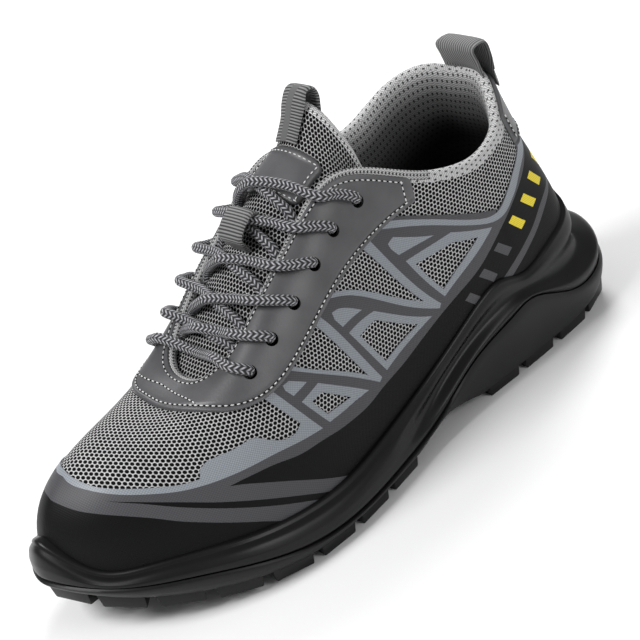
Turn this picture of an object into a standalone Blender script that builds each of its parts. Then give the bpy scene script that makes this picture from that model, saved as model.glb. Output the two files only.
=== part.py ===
"""Low steel-toe safety shoe for the left foot, built piece by piece around one last form.

Lengths along the foot run from the back of the heel to the toe, and lengths across it are positive on
the outer (lateral) side. In the scene +X is lateral, +Y is towards the heel and +Z is up, and the
shoe stands on the floor at Z = 0.
"""

import math
from collections import namedtuple

import bmesh
import bpy
import numpy as np
from mathutils import Matrix, Vector

MM = 0.001

# Driving sizes
FIT_GAP = 0.35 * MM  # between pieces that meet
UPPER_WALL = 2.2 * MM
COLLAR_PAD = 7.5 * MM  # thickness of the padded collar
PAD_DEPTH = 42 * MM  # how far the padding reaches below the rim
PAD_FULL = 0.8  # share of the upper's height where the padding is thickest
RIM_ROLL = 0.86  # share of the upper's height where the rim begins to roll in
RIM_THINNING = 0.55  # how much of the padding is gone at the rim's edge
OVERLAY = 1.4 * MM  # eyestay, heel tab and tongue patch
LUG_DEPTH = 4.5 * MM
OUTSOLE_RIM = 5 * MM  # width of the outsole's wall where it stands up round the midsole
RIM_DRAFT = 1 * MM  # how far that wall's inner face slopes
OUTSOLE_LEAST = 2.8 * MM  # outsole between the lugs
MIDSOLE_LEAST = 8 * MM  # midsole under the foot
SEAM_EASE = 0.8 * MM  # rounding of the sole's side at the seam
LIP_ROUND = 1.1 * MM
INSOLE_THICKNESS = 4.0 * MM
INSOLE_ROUND = 1.5 * MM
INSOLE_PLAY = 2.2 * MM
LUG_TAPER = 1.2 * MM
LUG_ROOT = 2 * MM  # how far a lug's block reaches up into the outsole
EDGE_LUG_PITCH = 17.5 * MM
EDGE_LUG_LENGTH = 12 * MM
EDGE_LUG_DEPTH = 13 * MM
EDGE_LUG_WAIST = 0.72  # an edge lug's inner end against its outer end
INNER_LUG_LENGTH = 17 * MM
INNER_LUG_WIDTH = 9 * MM
INNER_LUG_TURN = math.radians(28)
OVERLAY_EDGE = 0.6 * MM  # from the rim to an overlay's edge
HEEL_TAB_DEPTH = 25 * MM
HEEL_TAB_REACH = 2.3  # stations to each side of the heel's back
TONGUE_THICKNESS = 5 * MM
TONGUE_PLAY = 1.7 * MM  # between the tongue's front and the upper's inner face
TONGUE_ARCH = 7  # points across the tongue between the throat's edges
LACE_RADIUS = 2.2 * MM
LACE_OVER = 2.0 * MM  # between the middles of two strands where they cross
# Where a strand rises from the near rim, crosses the other, comes down and ends, across the throat.
LACE_NEAR, LACE_MIDDLE, LACE_FAR, LACE_END = 0.23, 0.5, 0.7, 0.86
EYELET_RADIUS = 2.6 * MM
PIN_LENGTH = 14 * MM
WEBBING = 1.7 * MM  # thickness of the loops' straps
STRAP_FLAT = 0.85  # how far a loop's strap has flattened where it stands free
HEEL_LOOP_RISE = 15 * MM  # above the rim
HEEL_LOOP_HEM = 9 * MM  # sewn length on the heel tab
HEEL_LOOP_REACH = 1.0  # stations to each side of the heel's back
TONGUE_LOOP_RISE = 8.5 * MM  # above the tongue's top
KEEPER_RISE = 8.8 * MM  # height of the lace keeper's bridge over the tongue

# Places along the foot, in master millimetres
ARCH_BACK, ARCH_FRONT = 97, 131  # no lugs between these
EYESTAY_TOP = 90  # where the eyestay's top edges meet the collar
THROAT_END = 201  # where the tongue turns under the throat's end

# Sampling of the faceted solids
AROUND = 66  # points round the shoe
UP_ROWS = 9  # rows from the sole to the rim

# The tables are drafted on a 314 mm master sole, and graded to this size (about EU 43)
GRADE = 0.97

# The sole at stations round the shoe, from the heel along the lateral side, in master millimetres:
# the place where the outline is widest, how far the tread's edge stands inside it, the heights of the
# seam between outsole and midsole and of the midsole's top lip, then how far the side's channel, the
# lip and the upper's foot stand inside the outline.
SoleStation = namedtuple("SoleStation", "name along across taper seam lip channel set_back inset")
SOLE_STATIONS = [
    SoleStation("heel_back", -17, 1, 7, 25, 60, 9, 19, 26),
    SoleStation("heel_lateral_rear", -9, 24, 6, 22, 58.5, 7, 13, 20),
    SoleStation("heel_lateral_corner", 5, 35, 4, 18, 50, 4, 8, 13),
    SoleStation("heel_lateral", 26, 40, 3, 20, 45, 2.5, 5, 10),
    SoleStation("heel_lateral_dip", 48, 41, 2.5, 30, 41.5, 1, 3, 8.5),
    SoleStation("heel_lateral_hump", 66, 41.5, 2.5, 29, 47, 1.5, 2, 8),
    SoleStation("arch_lateral_rear", 92, 41.5, 2.5, 23, 38.5, 2.5, 2, 7.5),
    SoleStation("arch_lateral", 120, 43.5, 2.5, 12, 29, 3, 2, 7.5),
    SoleStation("waist_lateral", 148, 49, 2, 8.5, 24, 2.5, 2.5, 8),
    SoleStation("ball_lateral", 178, 55, 2, 8, 21.5, 2, 3, 8.5),
    SoleStation("forefoot_lateral", 206, 56, 2, 9.5, 22.5, 2, 3.5, 8.5),
    SoleStation("forefoot_lateral_front", 232, 51.5, 2.5, 15, 26, 1.5, 3, 8),
    SoleStation("toe_lateral", 255, 41, 3, 20.5, 29, 1, 3, 7.5),
    SoleStation("toe_lateral_corner", 274, 28, 3.5, 24, 30.5, 0.5, 2.5, 7),
    SoleStation("toe_bumper_side", 288, 12, 4, 27, 33, 0, 2, 6.5),
    SoleStation("toe_bumper", 296, -6, 4.5, 29, 44, 0, 2, 6.5),
    SoleStation("toe_tip", 296, -19, 4.5, 29, 45.5, 0, 2, 6.5),
    SoleStation("toe_medial_bumper", 287, -35, 4, 27, 37, 0, 2, 6.5),
    SoleStation("toe_medial", 268, -48, 3, 22, 30, 0.5, 2.5, 7.5),
    SoleStation("forefoot_medial_front", 240, -53, 2.5, 16, 27, 1.5, 3, 8),
    SoleStation("ball_medial", 206, -52, 2, 9.5, 22.5, 2, 3.5, 8.5),
    SoleStation("forefoot_medial", 172, -44, 2, 8, 23, 2.5, 3, 8.5),
    SoleStation("arch_medial_front", 135, -36.5, 2.5, 10, 28, 3, 2, 8),
    SoleStation("arch_medial", 98, -35.5, 2.5, 21, 39, 2.5, 2, 7.5),
    SoleStation("heel_medial_hump", 66, -38, 2.5, 29, 47, 1.5, 2, 8),
    SoleStation("heel_medial", 36, -38.5, 2.5, 24, 43, 2, 4, 9),
    SoleStation("heel_medial_corner", 6, -32.5, 4, 18, 50, 4, 8, 13),
    SoleStation("heel_medial_rear", -10, -20, 6, 22, 58.5, 7, 13, 20),
]

# The upper at the same stations, in master millimetres: the height of its foot, the rim's place, and
# the handles that shape the rib between them (rise and bulge at the foot, reach and drop at the rim),
# then the share of padding and the eyestay's width below the rim.
UpperStation = namedtuple(
    "UpperStation",
    "name foot rim_along rim_across rim_height rise bulge reach drop padding eyestay",
)
UPPER_STATIONS = [
    UpperStation("heel_back", 27, 14, 0, 121, 34, 9, 1.5, 36, 1, 0),
    UpperStation("heel_lateral_rear", 26.5, 18, 12, 118.5, 34, 8.5, 4, 34, 1, 0),
    UpperStation("heel_lateral_corner", 26, 26, 22, 110.5, 32, 8, 5.5, 30, 1, 0),
    UpperStation("heel_lateral", 25.5, 36, 29.5, 105, 30, 4, 2, 27, 1, 0),
    UpperStation("heel_lateral_dip", 25, 50, 33, 102, 30, 3.5, 2, 26, 1, 0),
    UpperStation("heel_lateral_hump", 24.5, 65, 34, 103.5, 30, 3.5, 2, 26, 1, 0),
    UpperStation("arch_lateral_rear", 23, 86, 31.5, 111.5, 32, 4, 2.5, 27, 0.7, 8),
    UpperStation("arch_lateral", 20, 104, 25.5, 122, 34, 4, 5, 24, 0.2, 22),
    UpperStation("waist_lateral", 17, 124, 19.5, 127, 36, 3, 14, 15, 0, 36.5),
    UpperStation("ball_lateral", 15.5, 148, 19, 115, 34, 2, 19, 12, 0, 40.5),
    UpperStation("forefoot_lateral", 15.5, 171, 20.5, 101.5, 33, 1, 22, 10, 0, 40.5),
    UpperStation("forefoot_lateral_front", 17.5, 190, 21, 89, 33, 0, 24, 9, 0, 29),
    UpperStation("toe_lateral", 20.5, 201, 17.5, 82, 36, 0, 30, 8, 0, 20.5),
    UpperStation("toe_lateral_corner", 24, 206.5, 12, 78.5, 40, 0, 36, 6, 0, 17.3),
    UpperStation("toe_bumper_side", 27.5, 208.5, 6, 77, 42, 0, 42, 4, 0, 17),
    UpperStation("toe_bumper", 30, 209, 1, 77, 42, 0, 44, 3, 0, 17),
    UpperStation("toe_tip", 30, 208.5, -4, 77.5, 42, 0, 44, 3, 0, 17),
    UpperStation("toe_medial_bumper", 28, 206.5, -9.5, 79.5, 40, 0, 34, 6, 0, 18),
    UpperStation("toe_medial", 22, 200.5, -15, 83.5, 34, 0, 24, 9, 0, 20),
    UpperStation("forefoot_medial_front", 18, 187, -20, 91.5, 31, 0, 15, 12, 0, 24),
    UpperStation("ball_medial", 15.5, 167, -22.5, 104, 31, 1, 13, 14, 0, 29),
    UpperStation("forefoot_medial", 15.5, 145, -24.5, 116.5, 32, 2, 12, 16, 0, 31),
    UpperStation("arch_medial_front", 18.5, 122, -26.5, 127, 36, 2, 8, 22, 0, 30),
    UpperStation("arch_medial", 22.5, 98, -30.5, 121, 36, 3, 4, 27, 0.4, 17),
    UpperStation("heel_medial_hump", 24.5, 72, -32, 114, 32, 4, 2.5, 28, 1, 0),
    UpperStation("heel_medial", 25, 46, -31, 121, 32, 4, 1, 30, 1, 0),
    UpperStation("heel_medial_corner", 26, 27, -22.5, 125, 34, 6, 2, 32, 1, 0),
    UpperStation("heel_medial_rear", 26.5, 18, -12, 122.5, 34, 8, 3, 34, 1, 0),
]

# Pairs of lugs inside the edge lugs, in master millimetres.
LugRow = namedtuple("LugRow", "along middle spread")
INNER_LUGS = [
    LugRow(20, 1, 9),
    LugRow(40, 1, 10),
    LugRow(60, 1, 10),
    LugRow(80, 1, 10),
    LugRow(150, 4, 12),
    LugRow(172, 5, 15),
    LugRow(194, 4, 17),
    LugRow(216, 2, 17),
    LugRow(238, -1, 15),
    LugRow(259, -4, 11),
]

# The lace holes from the top pair down, in master millimetres: the rim's place beside each, its depth
# below the rim, and where its strand passes over the near rim and under the far one.
Eyelet = namedtuple("Eyelet", "rim_along depth near_rim far_rim")
EYELETS = [
    Eyelet(113, 11, 130, 142),
    Eyelet(126, 18, 144, 156),
    Eyelet(139, 21, 160, 170),
    Eyelet(154, 22, 174, 185),
    Eyelet(169, 22, 187, 192),
    Eyelet(182, 22, 197.5, 197.5),
]

# The tongue from the throat's front to its free top, in master millimetres: the rim's place beside each
# row, the arch's height, its lean towards the toe, its shoulder (less is squarer) and its play.
TongueRow = namedtuple("TongueRow", "rim_along crown lean shoulder play")
TONGUE_ROWS = [
    TongueRow(196, 2, 0.4, 0.8, 1.7),
    TongueRow(184, 4.5, 0.4, 0.8, 1.7),
    TongueRow(170, 6.5, 0.4, 0.8, 1.7),
    TongueRow(156, 8, 0.4, 0.8, 1.7),
    TongueRow(142, 9, 0.4, 0.8, 1.7),
    TongueRow(134, 9.3, 0.39, 0.8, 1.8),
    TongueRow(127, 9.8, 0.37, 0.78, 1.9),
    TongueRow(120, 11, 0.34, 0.75, 2.1),
    TongueRow(114, 17, 0.26, 0.66, 2.6),
    TongueRow(109, 25.5, 0.2, 0.58, 3.6),
    TongueRow(105, 32, 0.18, 0.52, 4.4),
]
TONGUE_FLANK = [16, 8, 1.5]  # depths below the rim of the points under the throat's sides
TONGUE_FRONT_DEPTHS = [14, 2]  # below the throat's end, of the front edge and of the row behind it
PATCH_ROWS = [137, 132, 127, 122, 116]  # the tongue's rows under the patch
PATCH_SHARES = np.linspace(0.08, 0.92, 9)  # of the way across the tongue
PULL_ROWS = [114.8, 111.5, 108]  # the tongue's rows under the pull loop
PULL_SHARES = np.linspace(0.4, 0.74, 5)
KEEPER_ROWS = [143, 144, 156, 158]  # the keeper's foot, bridge and foot
KEEPER_SHARES = np.linspace(0.31, 0.69, 5)

# Height of the lugs' undersides along the foot, in master millimetres: heel bevel, arch, toe spring.
TreadRow = namedtuple("TreadRow", "along height")
TREAD_ROWS = [
    TreadRow(-17, 4),
    TreadRow(-6, 1),
    TreadRow(4, 0),
    TreadRow(90, 0),
    TreadRow(102, 2.5),
    TreadRow(114, 4),
    TreadRow(126, 2.5),
    TreadRow(140, 0),
    TreadRow(205, 0),
    TreadRow(228, 2),
    TreadRow(252, 6),
    TreadRow(276, 12),
    TreadRow(297, 19),
]


def closed_spline(values):
    """A smooth closed curve through one column of station values, one unit of t a station."""
    values = np.asarray(values, float)
    count = len(values)
    identity = np.eye(count)
    system = 4 * identity + np.roll(identity, 1, axis=1) + np.roll(identity, -1, axis=1)
    slopes = np.linalg.solve(system, 3 * (np.roll(values, -1) - np.roll(values, 1)))

    def at(t):
        whole = np.floor(t).astype(int)
        part = t - whole
        here, after = whole % count, (whole + 1) % count
        square, cube = part**2, part**3
        return (
            (2 * cube - 3 * square + 1) * values[here]
            + (cube - 2 * square + part) * slopes[here]
            + (3 * square - 2 * cube) * values[after]
            + (cube - square) * slopes[after]
        )

    return at


def steady_curve(places, values):
    """A curve through a profile's rows that never overshoots them."""
    places, values = np.asarray(places, float), np.asarray(values, float)
    grades = np.diff(values) / np.diff(places)
    slopes = np.zeros_like(values)
    for i in range(1, len(values) - 1):
        before, after = grades[i - 1], grades[i]
        if before * after > 0:
            slopes[i] = 2 * before * after / (before + after)
    slopes[0], slopes[-1] = grades[0], grades[-1]

    def at(place):
        place = np.clip(place, places[0], places[-1])
        i = np.clip(np.searchsorted(places, place) - 1, 0, len(places) - 2)
        span = places[i + 1] - places[i]
        part = (place - places[i]) / span
        square, cube = part**2, part**3
        return (
            (2 * cube - 3 * square + 1) * values[i]
            + (cube - 2 * square + part) * slopes[i] * span
            + (3 * square - 2 * cube) * values[i + 1]
            + (cube - square) * slopes[i + 1] * span
        )

    return at


def columns_of(stations):
    """Each named column of a station table as a closed curve. Lengths are graded and in metres."""
    curves = {}
    for field in stations[0]._fields[1:]:
        unit = 1 if field == "padding" else GRADE * MM
        curves[field] = closed_spline([getattr(s, field) * unit for s in stations])
    return curves


SOLE = columns_of(SOLE_STATIONS)
UPPER = columns_of(UPPER_STATIONS)
STATION_COUNT = len(SOLE_STATIONS)
TREAD = steady_curve(
    [row.along * GRADE * MM for row in TREAD_ROWS],
    [row.height * GRADE * MM for row in TREAD_ROWS],
)

TONGUE = {
    name: steady_curve(
        [row.rim_along for row in TONGUE_ROWS[::-1]],
        [getattr(row, name) for row in TONGUE_ROWS[::-1]],
    )
    for name in ("crown", "lean", "shoulder", "play")
}
ARCH_SHARES = np.linspace(0, 1, TONGUE_ARCH + 2)[1:-1]

RING = np.linspace(0, STATION_COUNT, AROUND, endpoint=False)
FINE_RING = np.linspace(0, STATION_COUNT, 20 * AROUND, endpoint=False)
CENTRE_ALONG = (SOLE["along"](FINE_RING).max() + SOLE["along"](FINE_RING).min()) / 2
CENTRE_ACROSS = (SOLE["across"](FINE_RING).max() + SOLE["across"](FINE_RING).min()) / 2


def place(along, across, height):
    """Points in the scene from places along and across the foot."""
    along, across, height = np.broadcast_arrays(along, across, height)
    return np.stack([across - CENTRE_ACROSS, CENTRE_ALONG - along, height], axis=-1)


def along_of(points):
    return CENTRE_ALONG - points[..., 1]


def outward(t):
    """The outline's outward direction in plan."""
    step = 0.02
    along = SOLE["along"](t + step) - SOLE["along"](t - step)
    across = SOLE["across"](t + step) - SOLE["across"](t - step)
    length = np.hypot(along, across)
    return np.stack([along / length, across / length, np.zeros_like(length)], axis=-1)


def outline(t, offset, height):
    """The sole's outline moved outwards by an offset, at a height."""
    flat = place(SOLE["along"](t), SOLE["across"](t), height)
    return flat + outward(t) * np.asarray(offset)[..., None]


def upper_point(t, v):
    """The upper's outer face: t runs round the shoe and v from the foot (0) to the rim (1)."""
    t, v = np.broadcast_arrays(np.asarray(t, float), np.asarray(v, float))
    foot = outline(t, -SOLE["inset"](t), UPPER["foot"](t))
    rim = place(UPPER["rim_along"](t), UPPER["rim_across"](t), UPPER["rim_height"](t))
    up = np.array([0, 0, 1.0])
    away = (foot - rim) * np.array([1, 1, 0])
    away /= np.maximum(np.linalg.norm(away, axis=-1), MM)[..., None]
    low = foot + up * UPPER["rise"](t)[..., None] + outward(t) * UPPER["bulge"](t)[..., None]
    high = rim + away * UPPER["reach"](t)[..., None] - up * UPPER["drop"](t)[..., None]
    v = v[..., None]
    return (1 - v) ** 3 * foot + 3 * (1 - v) ** 2 * v * low + 3 * (1 - v) * v**2 * high + v**3 * rim


def upper_normal(t, v):
    step = 0.01
    round_way = upper_point(t + step, v) - upper_point(t - step, v)
    up_way = upper_point(t, np.minimum(v + step, 1)) - upper_point(t, np.maximum(v - step, 0))
    normal = np.cross(up_way, round_way)
    return normal / np.linalg.norm(normal, axis=-1)[..., None]


def rib_share(t, depth):
    """The v of the point that lies a given depth below the rim, measured along its rib."""
    shares = np.linspace(0, 1, 81)
    ribs = upper_point(np.atleast_1d(t)[:, None], shares[None, :])
    steps = np.linalg.norm(np.diff(ribs, axis=1), axis=-1)
    below = np.concatenate([np.cumsum(steps[:, ::-1], axis=1)[:, ::-1], np.zeros((len(ribs), 1))], 1)
    depth = np.broadcast_to(depth, len(ribs))
    return np.array([np.interp(-d, -b, shares) for d, b in zip(depth, below)])


def lip_share(t):
    """The v at which the upper passes the midsole's lip."""
    shares = np.linspace(0, 0.7, 141)
    heights = upper_point(np.atleast_1d(t)[:, None], shares[None, :])[..., 2]
    return np.array([np.interp(h, row, shares) for h, row in zip(SOLE["lip"](t), heights)])


def ring_at_rim(rim_along, side):
    """The t on one side of the throat where the rim is this far along the foot."""
    toe = next(i for i, s in enumerate(UPPER_STATIONS) if s.name == "toe_tip")
    heel = 3 if side > 0 else STATION_COUNT - 3
    t = np.linspace(heel, toe - 0.5 * side, 600)
    return float(np.interp(rim_along, UPPER["rim_along"](t), t))


# Materials


def material(name, colour, roughness, metallic=0.0):
    made = bpy.data.materials.new(name)
    made.use_nodes = True
    shader = made.node_tree.nodes["Principled BSDF"]
    shader.inputs["Base Color"].default_value = (*colour, 1)
    shader.inputs["Roughness"].default_value = roughness
    shader.inputs["Metallic"].default_value = metallic
    return made


# Mesh building


def new_object(name, mesh, finish, collection):
    made = bpy.data.objects.new(name, mesh)
    collection.objects.link(made)
    mesh.materials.append(finish)
    mesh.shade_smooth()
    mesh.set_sharp_from_angle(angle=math.radians(35))
    return made


def mesh_from(bm, name):
    mesh = bpy.data.meshes.new(name)
    bm.to_mesh(mesh)
    bm.free()
    return mesh


def grid_rows(bm, rows, closed):
    """Vertices for rows of points, with quads between neighbours."""
    verts = [[bm.verts.new(p) for p in row] for row in rows]
    for low, high in zip(verts, verts[1:]):
        count = len(low)
        for i in range(count if closed else count - 1):
            j = (i + 1) % count
            bm.faces.new((low[i], high[i], high[j], low[j]))
    return verts


def ladder_cap(bm, ring):
    """Closes a ring that runs from the heel down one side and back up the other, rung by rung."""
    for i in range(len(ring) // 2):
        corners = [ring[i], ring[i + 1], ring[-i - 1], ring[-i]]
        bm.faces.new(list(dict.fromkeys(corners)))


def ring_solid(name, rows):
    """A closed solid through rings stacked from its underside to its top."""
    bm = bmesh.new()
    verts = grid_rows(bm, rows, closed=True)
    ladder_cap(bm, verts[0])
    ladder_cap(bm, verts[-1])
    bmesh.ops.triangulate(bm, faces=bm.faces)
    bmesh.ops.recalc_face_normals(bm, faces=bm.faces)
    return mesh_from(bm, name)


def open_sheet(name, rows, closed=False):
    bm = bmesh.new()
    grid_rows(bm, rows, closed)
    return mesh_from(bm, name)


def solidify(target, thickness, offset, even=True):
    wall = target.modifiers.new("wall", "SOLIDIFY")
    wall.thickness = thickness
    wall.offset = offset
    wall.use_even_offset = even
    return wall


def boolean(target, tool, operation):
    cut = target.modifiers.new(operation.lower(), "BOOLEAN")
    cut.operation = operation
    cut.object = tool
    cut.use_self = operation == "UNION"
    tool.hide_render = True
    tool.display_type = "WIRE"


def tube_mesh(name, points, radius):
    """A round cord along a smooth curve through a few points, as a closed mesh."""
    curve = bpy.data.curves.new(name, "CURVE")
    curve.dimensions = "3D"
    curve.bevel_depth = radius
    curve.bevel_resolution = 1
    curve.resolution_u = 2
    curve.use_fill_caps = True
    spline = curve.splines.new("BEZIER")
    spline.bezier_points.add(len(points) - 1)
    for bend, point in zip(spline.bezier_points, points):
        bend.co = point
        bend.handle_left_type = bend.handle_right_type = "AUTO"
    guide = bpy.data.objects.new(name, curve)
    bpy.context.scene.collection.objects.link(guide)
    graph = bpy.context.evaluated_depsgraph_get()
    mesh = bpy.data.meshes.new_from_object(guide.evaluated_get(graph))
    bpy.data.objects.remove(guide)
    bm = bmesh.new()
    bm.from_mesh(mesh)
    bmesh.ops.remove_doubles(bm, verts=bm.verts, dist=0.01 * MM)
    bmesh.ops.recalc_face_normals(bm, faces=bm.faces)
    bm.to_mesh(mesh)
    bm.free()
    return mesh


# Sole


def sole_floor(t):
    """Height of the outsole between its lugs."""
    return TREAD(SOLE["along"](t)) + LUG_DEPTH


def deck(t):
    """Height of the outsole's top inside its rim."""
    wanted = np.minimum(SOLE["seam"](t), UPPER["foot"](t) - MIDSOLE_LEAST)
    return np.maximum(wanted, sole_floor(t) + OUTSOLE_LEAST)


def outsole_mesh():
    t = RING
    floor = sole_floor(t)
    side = SOLE["seam"](t) - floor
    even = np.ones_like(t)
    rows = [
        outline(t, -SOLE["taper"](t), floor),
        outline(t, -0.25 * SOLE["taper"](t), floor + 0.45 * side),
        outline(t, 0 * even, floor + 0.85 * side),
        outline(t, -SEAM_EASE * even, floor + side),
        outline(t, -OUTSOLE_RIM * even, floor + side),
        outline(t, -(OUTSOLE_RIM + RIM_DRAFT) * even, deck(t)),
    ]
    return ring_solid("outsole", rows)


def add_lug(bm, centre, turn, length, depth, waist=1.0):
    """One tapered block, whose underside follows the tread and whose top sinks into the outsole."""
    corners = bmesh.ops.create_cube(bm, size=1)["verts"]
    for corner in corners:
        on_floor = corner.co.z < 0
        shrink = LUG_TAPER if on_floor else 0
        spot = Vector((corner.co.x * (length - 2 * shrink), corner.co.y * (depth - 2 * shrink), 0))
        if corner.co.y < 0:
            spot.x *= waist
        spot = Matrix.Rotation(turn, 3, "Z") @ spot + centre
        spot.z = float(TREAD(CENTRE_ALONG - spot.y))
        if not on_floor:
            spot.z += LUG_DEPTH + LUG_ROOT
        corner.co = spot


def lugs_mesh():
    bm = bmesh.new()
    edge = outline(FINE_RING, -SOLE["taper"](FINE_RING), 0)
    run = np.cumsum(np.linalg.norm(np.diff(edge, axis=0, append=edge[:1]), axis=1))
    count = round(run[-1] / EDGE_LUG_PITCH)
    for k in range(count):
        t = np.interp((k + 0.5) * run[-1] / count, run, FINE_RING)
        away = outward(np.array([t]))[0]
        rim = outline(np.array([t]), -SOLE["taper"](np.array([t])), 0)[0]
        if ARCH_FRONT > along_of(rim) / (GRADE * MM) > ARCH_BACK:
            continue
        centre = Vector(rim - away * (0.5 * EDGE_LUG_DEPTH - LUG_TAPER))
        turn = math.atan2(away[1], away[0]) - math.pi / 2
        add_lug(bm, centre, turn, EDGE_LUG_LENGTH, EDGE_LUG_DEPTH, EDGE_LUG_WAIST)
    for row in INNER_LUGS:
        for side in (-1, 1):
            spot = place(row.along * GRADE * MM, (row.middle + side * row.spread) * GRADE * MM, 0)
            add_lug(bm, Vector(spot), side * INNER_LUG_TURN, INNER_LUG_LENGTH, INNER_LUG_WIDTH)
    bmesh.ops.triangulate(bm, faces=bm.faces)
    return mesh_from(bm, "lugs")


def midsole_mesh():
    t = RING
    base = SOLE["seam"](t) + FIT_GAP
    lip, set_back = SOLE["lip"](t), SOLE["set_back"](t)
    side = lip - base
    lip_v = lip_share(t)
    even = np.ones_like(t)
    inside_rim = OUTSOLE_RIM + FIT_GAP
    rows = [
        outline(t, -(inside_rim + RIM_DRAFT) * even, deck(t) + FIT_GAP),
        outline(t, -inside_rim * even, base),
        outline(t, -2 * SEAM_EASE * even, base),
        outline(t, -0.5 * SEAM_EASE * even, base + 0.13 * side),
        outline(t, -SOLE["channel"](t) - 0.5 * set_back, base + 0.45 * side),
        outline(t, 0.5 * LIP_ROUND - set_back, base + 0.72 * side),
        outline(t, -set_back, lip - LIP_ROUND),
        outline(t, -set_back - LIP_ROUND, lip),
    ]
    for share in (1, 0.6, 0.25, 0):
        rows.append(upper_point(t, share * lip_v) + outward(t) * FIT_GAP)
    rows[-1] = rows[-1] - np.array([0, 0, FIT_GAP])
    return ring_solid("midsole", rows)


def insole_mesh():
    t = RING
    inside = SOLE["inset"](t) + UPPER_WALL + INSOLE_PLAY
    bottom = UPPER["foot"](t) + FIT_GAP
    rows = [
        outline(t, -inside, bottom),
        outline(t, -inside, bottom + INSOLE_THICKNESS - INSOLE_ROUND),
        outline(t, -inside - INSOLE_ROUND, bottom + INSOLE_THICKNESS),
    ]
    return ring_solid("insole", rows)


# Upper and what is sewn on it


def upper_object(finish, collection):
    shares = np.linspace(0, 1, UP_ROWS + 1)
    rows = [upper_point(RING, share) for share in shares]
    made = new_object("upper", open_sheet("upper", rows, closed=True), finish, collection)
    padding = made.vertex_groups.new(name="padding")
    pad_start = rib_share(RING, PAD_DEPTH)
    for row, share in enumerate(shares):
        ramp = np.clip((share - pad_start) / (PAD_FULL - pad_start), 0, 1)
        rolled_rim = 1 - RIM_THINNING * np.clip((share - RIM_ROLL) / (1 - RIM_ROLL), 0, 1) ** 2
        weights = UPPER["padding"](RING) * ramp**2 * (3 - 2 * ramp) * rolled_rim
        for column, weight in enumerate(np.clip(weights, 0, 1)):
            padding.add([row * AROUND + column], float(weight), "REPLACE")
    wall = solidify(made, COLLAR_PAD, -1)
    wall.vertex_group = padding.name
    wall.thickness_vertex_group = UPPER_WALL / COLLAR_PAD
    return made


def overlay_object(name, t, shallow, deep, rows, finish, collection):
    """A layer on the upper's outer face, between two depths below the rim."""
    lines = []
    for share in np.linspace(1, 0, rows):
        v = rib_share(t, shallow + share * (deep - shallow))
        lines.append(upper_point(t, v) + upper_normal(t, v) * FIT_GAP)
    made = new_object(name, open_sheet(name, lines), finish, collection)
    solidify(made, OVERLAY, 1)
    return made


def eyestay_object(finish, collection):
    first = ring_at_rim(EYESTAY_TOP * GRADE * MM, 1)
    last = ring_at_rim(EYESTAY_TOP * GRADE * MM, -1)
    inner = RING[(RING > first + 0.1) & (RING < last - 0.1)]
    t = np.concatenate([[first], inner, [last]])
    return overlay_object("eyestay", t, OVERLAY_EDGE, UPPER["eyestay"](t), 5, finish, collection)


def heel_tab_object(finish, collection):
    t = np.linspace(-HEEL_TAB_REACH, HEEL_TAB_REACH, 11)
    deep = HEEL_TAB_DEPTH * (1 - 0.3 * (t / HEEL_TAB_REACH) ** 2)
    return overlay_object("heel_tab", t, OVERLAY_EDGE, deep, 4, finish, collection)


def on_eyestay(t, depth, above):
    """A point over the upper near the throat, standing off its outer face."""
    t = np.array([t])
    v = rib_share(t, depth)
    return (upper_point(t, v) + upper_normal(t, v) * above)[0]


def eyelet_holes(collection):
    """One mesh with a pin through each lace hole."""
    bm = bmesh.new()
    for row in EYELETS:
        for side in (1, -1):
            t = ring_at_rim(row.rim_along * GRADE * MM, side)
            centre = on_eyestay(t, row.depth * GRADE * MM, 0)
            way = Vector(on_eyestay(t, row.depth * GRADE * MM, MM) - centre)
            turn = way.to_track_quat("Z", "Y").to_matrix().to_4x4()
            bmesh.ops.create_cone(
                bm,
                cap_ends=True,
                segments=8,
                radius1=EYELET_RADIUS,
                radius2=EYELET_RADIUS,
                depth=PIN_LENGTH,
                matrix=Matrix.Translation(centre) @ turn,
            )
    made = bpy.data.objects.new("eyelet_holes", mesh_from(bm, "eyelet_holes"))
    collection.objects.link(made)
    return made


# Tongue


def under_upper(t, depth, play):
    """Points below the upper's inner face."""
    v = rib_share(t, depth)
    return upper_point(t, v) - upper_normal(t, v) * (UPPER_WALL + play)


def tongue_flanks(along):
    """Points under the throat's two sides beside one place on the rim, lateral side first."""
    depths = np.array(TONGUE_FLANK) * GRADE * MM
    sides = []
    for side in (1, -1):
        t = np.full(len(depths), ring_at_rim(along * GRADE * MM, side))
        sides.append(under_upper(t, depths, TONGUE["play"](along) * MM))
    return sides


def tongue_point(along, share):
    """The tongue's arch beside one place on the rim, at shares of the way from lateral to medial."""
    lateral, medial = (flank[-1] for flank in tongue_flanks(along))
    share = np.atleast_1d(share)[:, None]
    lean = TONGUE["lean"](along)
    lift = np.array([0, -lean, math.sqrt(1 - lean**2)]) * TONGUE["crown"](along) * GRADE * MM
    rise = (4 * share * (1 - share)) ** TONGUE["shoulder"](along)
    return lateral * (1 - share) + medial * share + lift * rise


def tongue_normal(along, share):
    step = 0.02
    across = tongue_point(along, share + step) - tongue_point(along, share - step)
    back = tongue_point(along - 10 * step, share) - tongue_point(along + 10 * step, share)
    normal = np.cross(back, across)
    return normal / np.linalg.norm(normal, axis=-1)[..., None]


def above_tongue(along, share, height):
    """Points standing off the tongue's outer face."""
    return tongue_point(along, share) + tongue_normal(along, share) * height


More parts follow.
